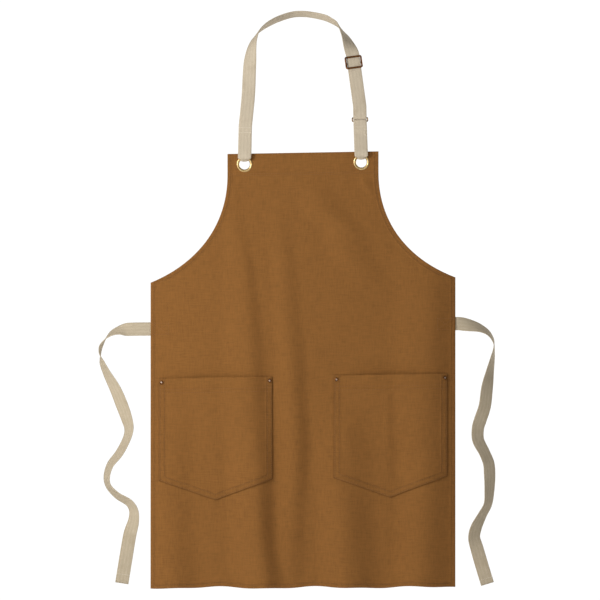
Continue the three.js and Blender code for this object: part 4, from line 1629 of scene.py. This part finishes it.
@dataclass
class PatchPocket:
    """One patch pocket with its hemmed mouth."""

    side: Side
    finishes: Finishes
    stitches: StitchRows
    width: float = 0.215
    drop: float = 0.424
    length: float = 0.195
    point: float = 0.039
    edge_gap: float = 0.016
    bulge: float = 0.0046
    open_half: float = 0.040
    closed_at: float = 0.092
    hem: float = 0.030
    hem_inset: float = 0.004
    hem_layer: float = 0.0008
    seams: tuple[float, float] = (0.0024, 0.0104)

    @property
    def centre(self) -> float:
        """The pocket's centre line, across."""
        return self.side.value * (PATTERN.skirt_half - self.edge_gap - self.width / 2)

    def length_at(self, across: float) -> float:
        """The pocket's length at a place across."""
        beside = min(1.0, abs(across - self.centre) / (self.width / 2))
        return self.length + self.point * (1 - beside)

    def into(self, across: float, down: float) -> float:
        """The distance in from the sewn edges.

        Args:
            across: metres right of the centre line.
            down: metres below the bib's top edge.

        Returns:
            Metres in.
        """
        beside = self.width / 2 - abs(across - self.centre)
        slope = self.point / (self.width / 2)
        below = (self.drop + self.length_at(across) - down) / math.hypot(1, slope)
        return min(beside, below)

    def stand_off(self, across: float, down: float) -> float:
        """How far the pocket stands off the body, beyond its seat.

        Args:
            across: metres right of the centre line.
            down: metres below the bib's top edge.

        Returns:
            Metres forward.
        """
        out = abs(across - self.centre)
        wide = 1 - smooth(out, self.open_half * 0.4, self.closed_at)
        deep = 1 - smooth(down, self.drop + 0.03, self.drop + 0.19)
        lump = 0.0010 * (noise.noise(Vector((across * 26, down * 17, 9.3 + self.side.value))) + 0.3)
        folded = 0.0003 * (1 - smooth(self.into(across, down), 0.0105, 0.0145))
        hem = 0.0006 * (1 - smooth(down, self.drop + self.hem, self.drop + self.hem + 0.003))
        crease = sum(line.lift(across, down) for line in POCKET_CREASES[self.side])
        inner = smooth(self.into(across, down), 0.002, 0.02)
        return self.bulge * wide * deep + folded + hem + (lump + crease) * inner

    def at(self, across: float, down: float, extra: float = 0.0) -> Vector:
        """A point of the pocket's middle surface, or extra metres in front of it."""
        before = CANVAS + SEAT + self.stand_off(across, down) + extra
        return PATTERN.hung(across, down) + PATTERN.normal(across, down) * before

    def front(self) -> bpy.types.Object:
        """The pocket's canvas.

        Returns:
            The canvas.
        """
        rows = []
        for share in evenly(0, 1, 64):
            row = []
            for across in evenly(self.centre - self.width / 2, self.centre + self.width / 2, 60):
                down = self.drop + share * self.length_at(across)
                row.append((self.at(across, down), (across, down), self.into(across, down)))
            rows.append(row)
        return cloth(f"pocket_front_{self.side.word}", rows, self.finishes.pocket, CANVAS)

    def mouth_hem(self) -> bpy.types.Object:
        """The turned-in hem behind the pocket's mouth.

        Returns:
            The hem.
        """
        rows = []
        half = self.width / 2 - self.hem_inset
        for down in evenly(self.drop + 0.0002, self.drop + self.hem, 8):
            row = []
            for across in evenly(self.centre - half, self.centre + half, 50):
                off = self.stand_off(across, down)
                room = -min(CANVAS * 0.92, max(0.0, off + SEAT * 0.5))
                row.append((self.at(across, down, room), (across, down), self.hem_inset))
            rows.append(row)
        return cloth(f"pocket_hem_{self.side.word}", rows, self.finishes.facing, self.hem_layer)

    def rows(self) -> list[list[Pair]]:
        """The pocket's stitch rows: two round it and two below the mouth.

        Returns:
            The rows as places on the pattern.
        """
        made = []
        slope = self.point / (self.width / 2)
        for reach in self.seams:
            half = self.width / 2 - reach
            low = self.drop + self.length - reach * math.hypot(1, slope) + reach * slope
            tip = self.drop + self.length + self.point - reach * math.hypot(1, slope)
            path = [
                (-half, self.drop + 0.002), (-half, low), (0, tip), (half, low), (half, self.drop + 0.002)
            ]
            places = []
            for (x0, y0), (x1, y1) in zip(path, path[1:]):
                places += [
                    (self.centre + x0 + (x1 - x0) * t, y0 + (y1 - y0) * t) for t in evenly(0, 1, 50)
                ]
            made.append(places)
        for reach in (self.hem - 0.0020, self.hem - 0.0085):
            made.append([
                (self.centre + x, self.drop + reach)
                for x in evenly(-self.width / 2 + 0.003, self.width / 2 - 0.003, 70)
            ])
        return made

    def build(self) -> None:
        """Makes the pocket."""
        front = settle(self.front(), Body.APRON, Slot.CANVAS, f"pocket_{self.side.word}")
        hem = settle(self.mouth_hem(), Body.APRON, Slot.CANVAS)
        lift = CANVAS / 2 + THREAD_PROUD
        lines = [[self.at(a, d, lift) for a, d in row] for row in self.rows()]
        sewn = self.stitches.sew(
            f"pocket_seams_{self.side.word}", lines, self.finishes.brown_thread, seed=6 + self.side.value
        )
        settle(sewn, Body.APRON, Slot.CANVAS)
        self.length + self.point
        self.width * (self.length + self.point / 2)


# ---- Metal pieces ----
@dataclass
class Rivets:
    """The four rivets at the pockets' top corners."""

    finishes: Finishes
    pockets: tuple[PatchPocket, ...]
    radius: float = 0.0038
    inset: float = 0.005
    drop: float = 0.008

    def spots(self) -> list[tuple[PatchPocket, Pair]]:
        """Each rivet's pocket and its place on the pattern.

        Returns:
            Four pairs.
        """
        return [
            (pocket, (pocket.centre + sign * (pocket.width / 2 - self.inset), pocket.drop + self.drop))
            for pocket in self.pockets
            for sign in (-1, 1)
        ]

    def build(self) -> None:
        """Makes the caps, their bright centres and the feet behind."""
        r = self.radius
        rims, centres, feet = [], [], []
        for pocket, (across, down) in self.spots():
            normal = PATTERN.normal(across, down)
            seat = pocket.at(across, down, CANVAS / 2)
            rims.append(spun("rim", [
                (0.0, 0.0001), (r, 0.0001), (r * 1.02, 0.0005), (r * 0.95, 0.0012), (r * 0.78, 0.00165),
                (r * 0.62, 0.00155), (r * 0.52, 0.0010), (0.0, 0.0009),
            ], seat, normal, 32, self.finishes.copper))
            centres.append(spun("centre", [
                (0.0, 0.0008), (r * 0.46, 0.0008), (r * 0.46, 0.00125), (r * 0.34, 0.0016),
                (r * 0.16, 0.00178), (0.0, 0.0018),
            ], seat, normal, 28, self.finishes.rubbed))
            back = PATTERN.hung(across, down) - normal * (CANVAS / 2)
            feet.append(spun("foot", [
                (0.0, 0.0), (r, 0.0), (r, 0.0004), (r * 0.86, 0.0009), (r * 0.3, 0.0010),
                (r * 0.2, 0.0004), (0.0, 0.0003),
            ], back, -normal, 28, self.finishes.copper))
        names = [f"rivet_{p}_pocket_{s}" for p in ("left", "right") for s in ("left", "right")]
        caps = [name + "_cap" for name in names]
        settle(merged("rivet_rims", rims), Body.APRON, Slot.RIVETS, *caps)
        settle(merged("rivet_centres", centres), Body.APRON, Slot.RIVETS)
        settle(merged("rivet_feet", feet), Body.APRON, Slot.RIVETS, *[name + "_foot" for name in names])


@dataclass
class Eyelet:
    """One eyelet: a barrel with a rounded throat, rolled over a washer."""

    side: Side
    finishes: Finishes
    hole: float = 0.010
    radius: float = 0.015
    front: float = -0.0017
    back: float = 0.0041

    def build(self) -> None:
        """Makes the barrel and the washer."""
        word = self.side.word
        centre = middle(f"eyelet_{word}_washer")
        centre.y = PATTERN.bib_y
        axis = Vector((0, 1, 0))
        arc = (self.back - self.front) / 2
        mid = (self.back + self.front) / 2
        throat = [
            (
                self.hole + arc * (1 - math.cos(math.radians(angle))),
                mid + arc * math.sin(math.radians(angle)),
            )
            for angle in evenly(90, -70, 20)
        ]
        barrel = spun(f"eyelet_{word}", [
            *throat,
            (0.0127, self.front - 0.00010), (0.0136, self.front - 0.00004), (0.0144, self.front + 0.0002),
            (self.radius - 0.0001, self.front + 0.0006), (self.radius, -0.0007), (0.0118, -0.00065),
            (0.0116, -0.0005), (0.0116, 0.0034), (0.0134, 0.0034), (0.0136, 0.0037), (0.0133, 0.0041),
            throat[0],
        ], centre, axis, 72, self.finishes.brass)
        washer = spun(f"eyelet_washer_{word}", [
            (0.0119, 0.0024), (self.radius - 0.0001, 0.0024), (self.radius, 0.0026),
            (self.radius - 0.0004, 0.0031), (0.0119, 0.00315), (0.0119, 0.0024),
        ], centre, axis, 72, self.finishes.brass)
        settle(barrel, Body.APRON, Slot.EYELETS, f"eyelet_{word}_barrel")
        settle(washer, Body.APRON, Slot.EYELETS, f"eyelet_{word}_washer")


# ---- The neck strap ----
# The strap's way from the left eyelet over the neck to the right run, in millimetres: how far in from the
# eyelet, the other two coordinates, and how many degrees the webbing has turned from facing front.
STRAP_LEFT = (
    (7, -86, -158, 0), (10, -73, -95.5, -20), (13.4, -62, -65.5, -50), (18, -52, -48.7, -70),
    (23.8, -41, -38, -88), (31.4, -30, -29.2, -98), (43, -19, -20.2, -107), (64.7, -6.6, -8.8, -112),
    (91.8, 0, -0.2, -113),
)
STRAP_RIGHT = (
    (96, 0, -0.6, -113), (68, -6, -7, -113), (55, -12, -13.4, -108), (45.3, -19, -20.1, -102),
    (38.7, -29, -28.2, -86), (30.4, -43, -41.9, -63), (25, -53, -54.9, -42), (20.4, -63, -68, -18),
)
# Half of the eye that the webbing makes through an eyelet: height above the bight, half its spread.
LOOP_BELLY = ((0, 0), (1.1, 4.4), (4.2, 8.2), (9.5, 10.3), (16, 9.8), (26, 7), (37, 3.9), (46, 1.9))


@dataclass
class NeckStrap:
    """The neck strap, its slider, its ring and the short loop."""

    finishes: Finishes
    stitches: StitchRows
    eyelet_x: float = 0.111
    eyelet_drop: float = 0.020
    strap_y: float = -0.0938
    hole: float = 0.010
    bight_gap: float = 0.0005
    bight_width: float = 0.014
    gathered_width: float = 0.0156
    gathered_cup: float = 0.0016
    stitched_lap: float = 0.013
    closed_at: float = 0.053
    left_lean: float = 0.022
    neck_slope: float = -113.0
    ring_wire: float = 0.0024
    ring_inset: float = 0.0027
    ring_rise: float = 0.081
    ring_corner: float = 0.0018
    wire: float = 0.003
    wire_look: float = 0.0035
    slider_height: float = 0.0244
    slider_drop: float = 0.016
    slider_corner: float = 0.0022
    tab_length: float = 0.018
    web_clearance: float = 0.0006
    fold_rise: float = 0.008
    run_end_rise: float = 0.022
    run_top: Vector = Vector((0.0945, -0.071, -0.0795))

    def __post_init__(self) -> None:
        """Works out the places that several pieces share."""
        rise = math.sqrt((self.hole - self.bight_gap) ** 2 - (self.bight_width / 2) ** 2) - WEB / 2
        self.eyes = {}
        for side in Side:
            x = side.value * self.eyelet_x
            centre = Vector((x, self.strap_y, -PATTERN.bib_drop - self.eyelet_drop + UP_TILT * x))
            self.eyes[side] = centre
        self.bights = {side: centre + ALONG * rise for side, centre in self.eyes.items()}
        self.fold = self.ring_wire / 2 + SEAT + WEB / 2
        self.bar_offset = self.fold + WEB / 2 + SEAT / 2
        right = self.eyes[Side.RIGHT]
        self.ring_centre = Vector((self.eyelet_x - self.ring_inset, self.strap_y, right.z + self.ring_rise))
        self.upper_bar = self.ring_centre + ALONG * self.bar_offset
        self.lower_bar = self.ring_centre - ALONG * self.bar_offset
        self.run_end = self.upper_bar + ALONG * self.run_end_rise
        self.down = (self.run_end - self.run_top).normalized()
        self.run_across = across_at(self.down, 0)
        self.run_front = self.run_across.cross(self.down)
        self.slider_centre = self.run_top + self.down * self.slider_drop

    @staticmethod
    def on_leg(bight: Vector, lean: float, front: float, x: float, height: float) -> Vector:
        """A place on the front of the webbing above an eyelet.

        Args:
            bight: the middle of the webbing at its lowest.
            lean: metres sideways to a metre up.
            front: the place's Y.
            x: metres across from the webbing's middle.
            height: metres above the bight.

        Returns:
            The point.
        """
        return Vector((bight.x + lean * height + x, front, bight.z + height + UP_TILT * x))

    def heavy(self, name: str, rows: Sequence[Sequence[Vector]]) -> bpy.types.Object:
        """Rows of the heavy thread that is used in the webbing."""
        return self.stitches.sew(name, rows, self.finishes.cream_thread, HEAVY_PITCH, HEAVY_THREAD)

    def eye(self, bight: Vector, lean: float, upper: Sequence[Pair]) -> list[Station]:
        """Stations round the eye through an eyelet, from the back leg's top to the front leg's.

        Args:
            bight: the middle of the webbing at its lowest.
            lean: metres sideways to a metre up.
            upper: height and half spread, above the belly.

        Returns:
            The stations.
        """
        half = [(h * MM, s * MM) for h, s in LOOP_BELLY] + list(upper)
        outline = [Vector((s, h, 0)) for h, s in reversed(half[1:])] + [Vector((-s, h, 0)) for h, s in half]
        last = len(outline) - 1
        stations = []
        for share in evenly(0, 1, len(outline) * 5):
            place = share * last
            i = min(int(place), last - 1)
            p = curved([outline[min(max(k, 0), last)] for k in (i - 1, i, i + 1, i + 2)], place - i)
            gathered = 1 - smooth(p.y, 0.0012, 0.0065)
            width = WEB_WIDTH + (self.gathered_width - WEB_WIDTH) * gathered
            cup = self.gathered_cup * gathered
            stations.append(Station(bight + Vector((lean * p.y, p.x, p.y)), ACROSS, width, WEB, cup))
        return stations

    def around(self, bar: Vector, below: bool, rise: float, across: Vector) -> list[Station]:
        """Stations of the fold round one bar of the ring.

        Args:
            bar: the bar's middle.
            below: whether the webbing passes below the bar.
            rise: the straight legs' length.
            across: the way across the webbing.

        Returns:
            The stations.
        """
        sign = -1 if below else 1
        arc = [
            bar + Vector((0, -self.fold * math.cos(a), 0)) + ALONG * (sign * self.fold * math.sin(a))
            for a in evenly(0, math.pi, 24)
        ]
        leg = ALONG * (-sign * rise)
        bend = [Station(p, across, WEB_WIDTH, WEB * 1.13) for p in arc]
        return [Station(arc[0] + leg, across), *bend, Station(arc[-1] + leg, across)]

    def main(self) -> bpy.types.Object:
        """The long piece: left eyelet, neck, right run, ring.

        Returns:
            The webbing.
        """
        top = [(self.closed_at, LAYERS_APART), (self.closed_at + self.stitched_lap, LAYERS_APART)]
        eye = self.eye(self.bights[Side.LEFT], self.left_lean, top)
        slope = math.radians(90 + self.neck_slope)
        rest = Vector((0, -math.sin(slope), math.cos(slope))) * (WEB / 2)
        x = self.eyelet_x
        points = [eye[-1].point] + [Vector((i * MM - x, y * MM, z * MM)) for i, y, z, _ in STRAP_LEFT]
        points += [rest] + [Vector((x - i * MM, y * MM, z * MM)) for i, y, z, _ in STRAP_RIGHT]
        points.append(self.run_top)
        turns = [0, *(s[3] for s in STRAP_LEFT), self.neck_slope, *(s[3] for s in STRAP_RIGHT), 0]
        over = Route(points, turns).stations(220)
        reach = (self.run_end - self.run_top).length
        run = [Station(self.run_top + self.down * far, self.run_across) for far in evenly(0.002, reach, 24)]
        ring = self.around(self.upper_bar, True, self.fold_rise, -ACROSS)
        stations = eye + over[1:] + run + ring
        return Ribbon(tuple(stations)).piece("strap_webbing", self.finishes.webbing)

    def return_run(self) -> bpy.types.Object:
        """The strap's way back up from the ring to the slider.

        Returns:
            The webbing.
        """
        behind = self.run_front * (self.bar_back + self.tab_radius)
        top = self.slider_centre + self.down * (self.tab_length + SEAT) + behind
        low = self.run_end + behind
        end = self.upper_bar + ALONG * (self.fold_rise + SEAT) + Vector((0, self.fold, 0))
        stations = [Station(top.lerp(low, share), self.run_across) for share in evenly(0, 1, 30)]
        stations += [Station(low.lerp(end, share), -ACROSS) for share in (0.3, 0.55, 0.8, 1.0)]
        obj = Ribbon(tuple(stations)).piece("strap_return", self.finishes.webbing)
        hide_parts("strap_return_run")
        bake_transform(obj)
        log.info("%s stretches between %s and %s", obj.name, Body.SLIDER.value, Body.STRAP.value)
        return obj

    @property
    def bar_back(self) -> float:
        """The slider's centre bar, in front of the run's middle (it is behind, so below zero)."""
        return -(WEB / 2 + SEAT + WEB + SEAT + self.wire / 2)

    @property
    def tab_radius(self) -> float:
        """Radius of the webbing's middle round the centre bar."""
        return self.wire / 2 + SEAT + WEB / 2

    def slider_place(self, x: float, y: float, z: float) -> Vector:
        """A point in the slider's own directions: across, up, and out of its front."""
        return self.slider_centre - self.run_across * x - self.down * y + self.run_front * z

    def slider(self) -> bpy.types.Object:
        """The tri-glide: a round-cornered frame with a bar set back behind it.

        Returns:
            The slider.
        """
        width = WEB_WIDTH + 2 * self.web_clearance + self.wire
        front = WEB / 2 + SEAT + self.wire / 2
        outline = rounded_frame(width, self.slider_height - self.wire, self.slider_corner)
        ring = bent_wire(
            "slider_frame", [self.slider_place(x, y, front) for x, y in outline], self.run_front,
            self.wire_look / 2, True, self.finishes.copper,
        )
        half, back = width / 2, self.bar_back
        bar = bent_wire("slider_bar", [
            self.slider_place(x, 0, z) for x, z in (
                (-half, front), (-half, back + 0.001), (-half + 0.0003, back + 0.0003),
                (-half + 0.001, back), (half - 0.001, back), (half - 0.0003, back + 0.0003),
                (half, back + 0.001), (half, front),
            )
        ], -self.down, self.wire / 2, False, self.finishes.copper)
        return merged("tri_glide", [ring, bar])

    def tab(self) -> tuple[bpy.types.Object, bpy.types.Object]:
        """The strap's end sewn back round the slider's centre bar, and its stitches.

        Returns:
            The webbing and the stitches.
        """
        radius = self.tab_radius
        arc = [
            (radius * math.sin(a), self.bar_back + radius * math.cos(a)) for a in evenly(0, math.pi, 24)
        ]
        near = arc[0][1]
        path = [(-self.tab_length, near), *arc, (-self.tab_length / 3, near - 1.6 * (WEB + SEAT))]
        path += [(-self.tab_length * t, near - (WEB + SEAT)) for t in (0.6, 0.8, 1.0)]
        across = -self.run_across
        stations = [Station(self.slider_place(0, y, z), across) for y, z in path]
        band = Ribbon(tuple(stations)).piece("strap_tab", self.finishes.webbing)
        out = near - (WEB + SEAT) - WEB / 2 - 0.0001
        rows = [
            [self.slider_place(x, -self.tab_length * t, out) for x in evenly(-0.0105, 0.0105, 12)]
            for t in (0.72, 0.9)
        ]
        return band, self.heavy("strap_tab_stitches", rows)

    def ring(self) -> bpy.types.Object:
        """The rectangular ring.

        Returns:
            The ring.
        """
        width = WEB_WIDTH + 2 * self.web_clearance + self.ring_wire
        outline = rounded_frame(width, 2 * self.bar_offset, self.ring_corner)
        path = [self.ring_centre + ACROSS * x + ALONG * y for x, y in outline]
        return bent_wire(
            "strap_ring", path, Vector((0, -1, 0)), self.ring_wire / 2, True, self.finishes.bronze
        )

    def short_loop(self) -> tuple[bpy.types.Object, bpy.types.Object]:
        """The loop between the ring and the right eyelet, and its stitches.

        Returns:
            The webbing and the stitches.
        """
        bight = self.bights[Side.RIGHT]
        height = self.lower_bar.z - bight.z
        lean = (self.lower_bar.x - bight.x) / height
        lap = (self.closed_at + height) / 2
        eye = self.eye(bight, lean, [(self.closed_at, self.fold), (lap, self.fold)])
        over = self.around(self.lower_bar, False, 0.001, ACROSS)[1:-1]
        ends = [
            Station(
                bight + Vector((lean * h, self.fold + layers * (WEB + SEAT), h)), ACROSS
            )
            for h, layers in (
                (lap + self.stitched_lap * 0.6, 0.4), (lap + 0.002, 1.0), (lap - self.stitched_lap, 1.1)
            )
        ]
        band = Ribbon(tuple(eye + over + ends)).piece("short_loop_webbing", self.finishes.webbing)
        front = self.strap_y - self.fold - WEB / 2 - 0.0001
        rows = [
            [self.on_leg(bight, lean, front, x, h) for x in evenly(-ROW_HALF, ROW_HALF, 14)]
            for h in (self.closed_at + 0.003, self.closed_at + 0.0085)
        ]
        return band, self.heavy("short_loop_stitches", rows)

    def left_stitches(self) -> bpy.types.Object:
        """Two rows and their ends that hold the turned-back end on the left.

        Returns:
            The stitches.
        """
        bight = self.bights[Side.LEFT]
        front = self.strap_y - LAYERS_APART - WEB / 2 - 0.00018
        low, high = self.closed_at + 0.0015, self.closed_at + self.stitched_lap - 0.002
        lean = self.left_lean
        rows = [
            [self.on_leg(bight, lean, front, x, h) for x in evenly(-ROW_HALF, ROW_HALF, 14)]
            for h in (low, high)
        ]
        rows += [
            [self.on_leg(bight, lean, front, x, h) for h in evenly(low, high, 8)]
            for x in (-ROW_HALF, ROW_HALF)
        ]
        return self.heavy("strap_stitches", rows)

    def build(self) -> None:
        """Makes the strap and its hardware."""
        settle(self.main(), Body.STRAP, Slot.WEBBING, "neck_strap")
        settle(self.left_stitches(), Body.STRAP, Slot.WEBBING)
        self.return_run()
        settle(self.slider(), Body.SLIDER, Slot.HARDWARE, "slider")
        band, sewn = self.tab()
        settle(band, Body.SLIDER, Slot.WEBBING, "strap_end_tab")
        settle(sewn, Body.SLIDER, Slot.WEBBING)
        settle(self.ring(), Body.STRAP, Slot.HARDWARE, "ring")
        band, sewn = self.short_loop()
        settle(band, Body.STRAP, Slot.WEBBING, "short_loop")
        settle(sewn, Body.STRAP, Slot.WEBBING)


# ---- Waist ties ----
# Each tie's free length from its exit, in millimetres: outwards, back, up, and degrees turned from facing
# front.
TIE_ROUTES = {
    Side.LEFT: (
        (0, 0, 0, 0), (5, 0, 0, 0), (19, 0, 0.2, 0), (41.8, 0.5, 0, 10), (58, 1.5, -1.3, 50),
        (73.2, 3, -6.8, 70), (83.8, 5, -16.3, 88), (92.5, 7, -29.6, 102), (94.8, 8, -40.1, 99),
        (94.4, 8.5, -48.6, 90), (91.4, 8, -61.9, 68), (81.7, 6, -83.4, 54), (65.7, 3, -113.4, 33),
        (53.6, 1, -142.7, 24), (44.1, 0, -169.3, 32), (39.9, 0, -187.4, 45), (42.9, 2, -204.8, 53),
        (57.8, 5, -234.3, 54), (76, 8, -257.8, 59), (82.3, 9, -281.2, 62), (78.9, 8, -297.5, 65),
        (63.1, 5, -314.9, 60), (38.6, 1, -330.8, 54), (30.6, -1, -345.6, 46), (31, -1, -364, 34),
        (37.6, 0, -388.3, 12), (45.6, 0, -434.3, 2), (53.4, 0, -482.4, 0),
    ),
    Side.RIGHT: (
        (0, 0, 0, 0), (5, 0, 0, 0), (20, 0, -2.5, -20), (43.8, 2, -8.5, -52), (61, 4, -18.4, -70),
        (70.7, 6, -32.8, -81), (72.4, 7, -42.7, -88), (70.4, 7.5, -62.1, -74), (64.3, 5, -93.6, -52),
        (59, 3, -123.1, -28), (54.4, 1, -158.4, -22), (46.2, 0, -183.3, -18), (41.7, 0, -198.5, -22),
        (41.9, 1, -221.3, -26), (53.4, 3, -245, -34), (62, 5, -266.4, -31), (63.9, 6, -286.7, -30),
        (63.5, 5, -317.3, -41), (60.3, 3, -345, -51), (50, 1, -364.6, -48), (37.9, 0, -389.1, -31),
        (34.3, 0, -406.8, -26), (39.6, 1, -427.8, -10), (49.6, 1, -462.6, 0), (59.7, 0, -495.9, 0),
    ),
}


@dataclass
class WaistTie:
    """One waist tie: the free webbing that hangs from the side edge, and its sewn end."""

    side: Side
    finishes: Finishes
    stitches: StitchRows
    drop: float = TIE_DROP
    sewn: float = 0.036
    hinge_out: float = 0.0015
    behind: float = CANVAS / 2 + SEAT + WEB / 2

    def __post_init__(self) -> None:
        """Finds the tie's exit."""
        x = self.side.value * PATTERN.skirt_half
        lean = PATTERN.hang_back * (self.drop - PATTERN.hang_from)
        height = -PATTERN.bib_drop - self.drop + UP_TILT * x
        self.edge = Vector((x, PATTERN.bib_y + lean + self.behind, height))
        self.outward = ACROSS * self.side.value
        self.exit = self.edge + self.outward * self.hinge_out

    def free(self) -> list[Station]:
        """Stations of the free length.

        Returns:
            The stations.
        """
        route = TIE_ROUTES[self.side]
        points = [
            self.exit + self.outward * (out * MM) + Vector((0, back * MM, up * MM))
            for out, back, up, _ in route
        ]
        return Route(points, [turn for *_, turn in route]).stations(230)

    def on_cloth(self, inset: float, rise: float, extra: float = 0.0) -> Vector:
        """A place on the sewn end: inset from the side edge, rise above its middle, extra metres behind."""
        across = self.side.value * (PATTERN.skirt_half - inset)
        return PATTERN.hung(across, self.drop, self.behind + extra) + ALONG * rise

    def build(self) -> None:
        """Makes the free length, its hemmed end and the sewn end."""
        word = self.side.word
        free = self.free()
        band = Ribbon(tuple(free)).piece(f"tie_webbing_{word}", self.finishes.tie_webbing)
        body = Body.TIE_LEFT if self.side is Side.LEFT else Body.TIE_RIGHT
        settle(band, body, Slot.WEBBING, f"waist_tie_{word}")
        path = [s.point for s in free]
        length = sum((b - a).length for a, b in zip(path, path[1:]))
        last = free[-1]
        facing = last.across.cross((free[-1].point - free[-4].point).normalized()).normalized()
        turned = [
            Station(s.point - facing * (WEB * 0.75 * k), s.across, WEB_WIDTH * 0.995, WEB * 0.8)
            for s, k in zip(free[-7:], (0.55, 0.9, 1, 1, 1, 1, 0.9))
        ]
        hem = Ribbon(tuple(turned)).piece(f"tie_hem_{word}", self.finishes.tie_webbing)
        settle(hem, body, Slot.WEBBING)
        seam = free[-4]
        row = [seam.point + seam.across * x + facing * (WEB * 0.54) for x in evenly(-0.0118, 0.0118, 12)]
        sewn = self.stitches.sew(
            f"tie_hem_stitches_{word}", [row], self.finishes.cream_thread, HEAVY_PITCH, HEAVY_THREAD
        )
        settle(sewn, body, Slot.WEBBING)
        log.info("free length of the %s tie: %.3f m", word, length)
        across = ALONG * self.side.value
        sewn_on = [Station(self.on_cloth(inset, 0), across) for inset in evenly(self.sewn, 0, 14)]
        sewn_on.append(Station(self.exit - self.outward * 0.00005, across))
        end = Ribbon(tuple(sewn_on)).piece(f"tie_sewn_end_{word}", self.finishes.tie_webbing)
        settle(end, Body.APRON, Slot.WEBBING, f"tie_end_{word}")
        box = [
            (BOX_FAR, -BOX_HALF), (BOX_NEAR, -BOX_HALF), (BOX_NEAR, BOX_HALF), (BOX_FAR, BOX_HALF),
            (BOX_FAR, -BOX_HALF),
        ]
        lines = []
        for path in (box, [box[0], box[2]], [box[3], box[1]]):
            for (x0, y0), (x1, y1) in zip(path, path[1:]):
                lines.append([
                    self.on_cloth(x0 + (x1 - x0) * t, y0 + (y1 - y0) * t, WEB / 2 + 0.0001)
                    for t in evenly(0, 1, 8)
                ])
        stitched = self.stitches.sew(f"tie_box_{word}", lines, self.finishes.brown_thread, pitch=0.003)
        settle(stitched, Body.APRON, Slot.WEBBING)


# ---- Studio ----
@dataclass
class Studio:
    """Pale floor, soft lights and the camera."""

    look_x: float = -0.0057
    look_z: float = -0.547
    distance: float = 12.0
    view_height: float = 1.14
    floor: float = -1.45
    floor_radius: float = 5.0
    ambient: float = 0.20
    background: float = 1.05
    sensor: float = 36.0

    def camera(self) -> None:
        """Places the camera square on to the apron."""
        data = bpy.data.cameras.new("camera")
        data.sensor_width = self.sensor
        data.lens = self.sensor * self.distance / self.view_height
        camera = bpy.data.objects.new("camera", data)
        camera.location = (self.look_x, PATTERN.bib_y - self.distance, self.look_z)
        camera.rotation_euler = (math.radians(90), 0, 0)
        bpy.context.scene.collection.objects.link(camera)
        bpy.context.scene.camera = camera

    def ground(self) -> None:
        """A round pale floor below the apron."""
        rim = [
            Vector((self.floor_radius * math.cos(a), self.floor_radius * math.sin(a), self.floor))
            for a in evenly(0, 2 * math.pi, 96)[:-1]
        ]
        piece("floor", rim, [tuple(range(96))], PaleFloor().make())

    def lamp(self, name: str, place: Vector, aim: Vector, size: float, power: float) -> None:
        """A square soft light.

        Args:
            name: the lamp's name.
            place: where it stands.
            aim: where it points.
            size: its side in metres.
            power: in watts.
        """
        data = bpy.data.lights.new(name, "AREA")
        data.shape = "SQUARE"
        data.size = size
        data.energy = power
        lamp = bpy.data.objects.new(name, data)
        lamp.location = place
        lamp.rotation_euler = (aim - place).to_track_quat("-Z", "Y").to_euler()
        bpy.context.scene.collection.objects.link(lamp)

    def sky(self) -> None:
        """Soft light from all round, in front of a white background."""
        world = bpy.data.worlds.new("soft_world")
        world.use_nodes = True
        tree = world.node_tree
        around = tree.nodes["Background"]
        around.inputs["Color"].default_value = (1.0, 1.0, 1.0, 1.0)
        around.inputs["Strength"].default_value = self.ambient
        seen = tree.nodes.new("ShaderNodeBackground")
        seen.inputs["Color"].default_value = (1.0, 1.0, 1.0, 1.0)
        seen.inputs["Strength"].default_value = self.background
        rays = tree.nodes.new("ShaderNodeLightPath")
        either = tree.nodes.new("ShaderNodeMixShader")
        tree.links.new(rays.outputs["Is Camera Ray"], either.inputs[0])
        tree.links.new(around.outputs[0], either.inputs[1])
        tree.links.new(seen.outputs[0], either.inputs[2])
        tree.links.new(either.outputs[0], tree.nodes["World Output"].inputs["Surface"])
        bpy.context.scene.world = world

    def build(self) -> None:
        """Sets up the studio."""
        self.camera()
        self.ground()
        centre = Vector((0, PATTERN.bib_y, self.look_z))
        self.lamp("key", centre + Vector((-1.4, -1.45, 0.6)), centre, 0.75, 33)
        self.lamp("fill", centre + Vector((-0.8, -3.0, 0.5)), centre, 2.2, 12)
        self.lamp("top", centre + Vector((0.2, -0.6, 2.6)), centre, 1.6, 6)
        self.lamp("behind", centre + Vector((2.3, 2.0, 0.7)), centre, 1.8, 52)
        self.sky()
        bpy.context.scene.view_settings.view_transform = "Standard"


def main() -> None:
    """Builds the apron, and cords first."""
    logging.basicConfig(level=logging.INFO, format="%(message)s")
    Studio().build()
    finishes = Finishes.make()
    stitches = StitchRows()
    for side in Side:
        WaistTie(side, finishes, stitches).build()
    NeckStrap(finishes, stitches).build()
    CanvasBody(finishes, stitches).build()
    pockets = tuple(PatchPocket(side, finishes, stitches) for side in Side)
    for pocket in pockets:
        pocket.build()
    Rivets(finishes, pockets).build()
    for side in Side:
        Eyelet(side, finishes).build()


if __name__ == "__main__":
    main()
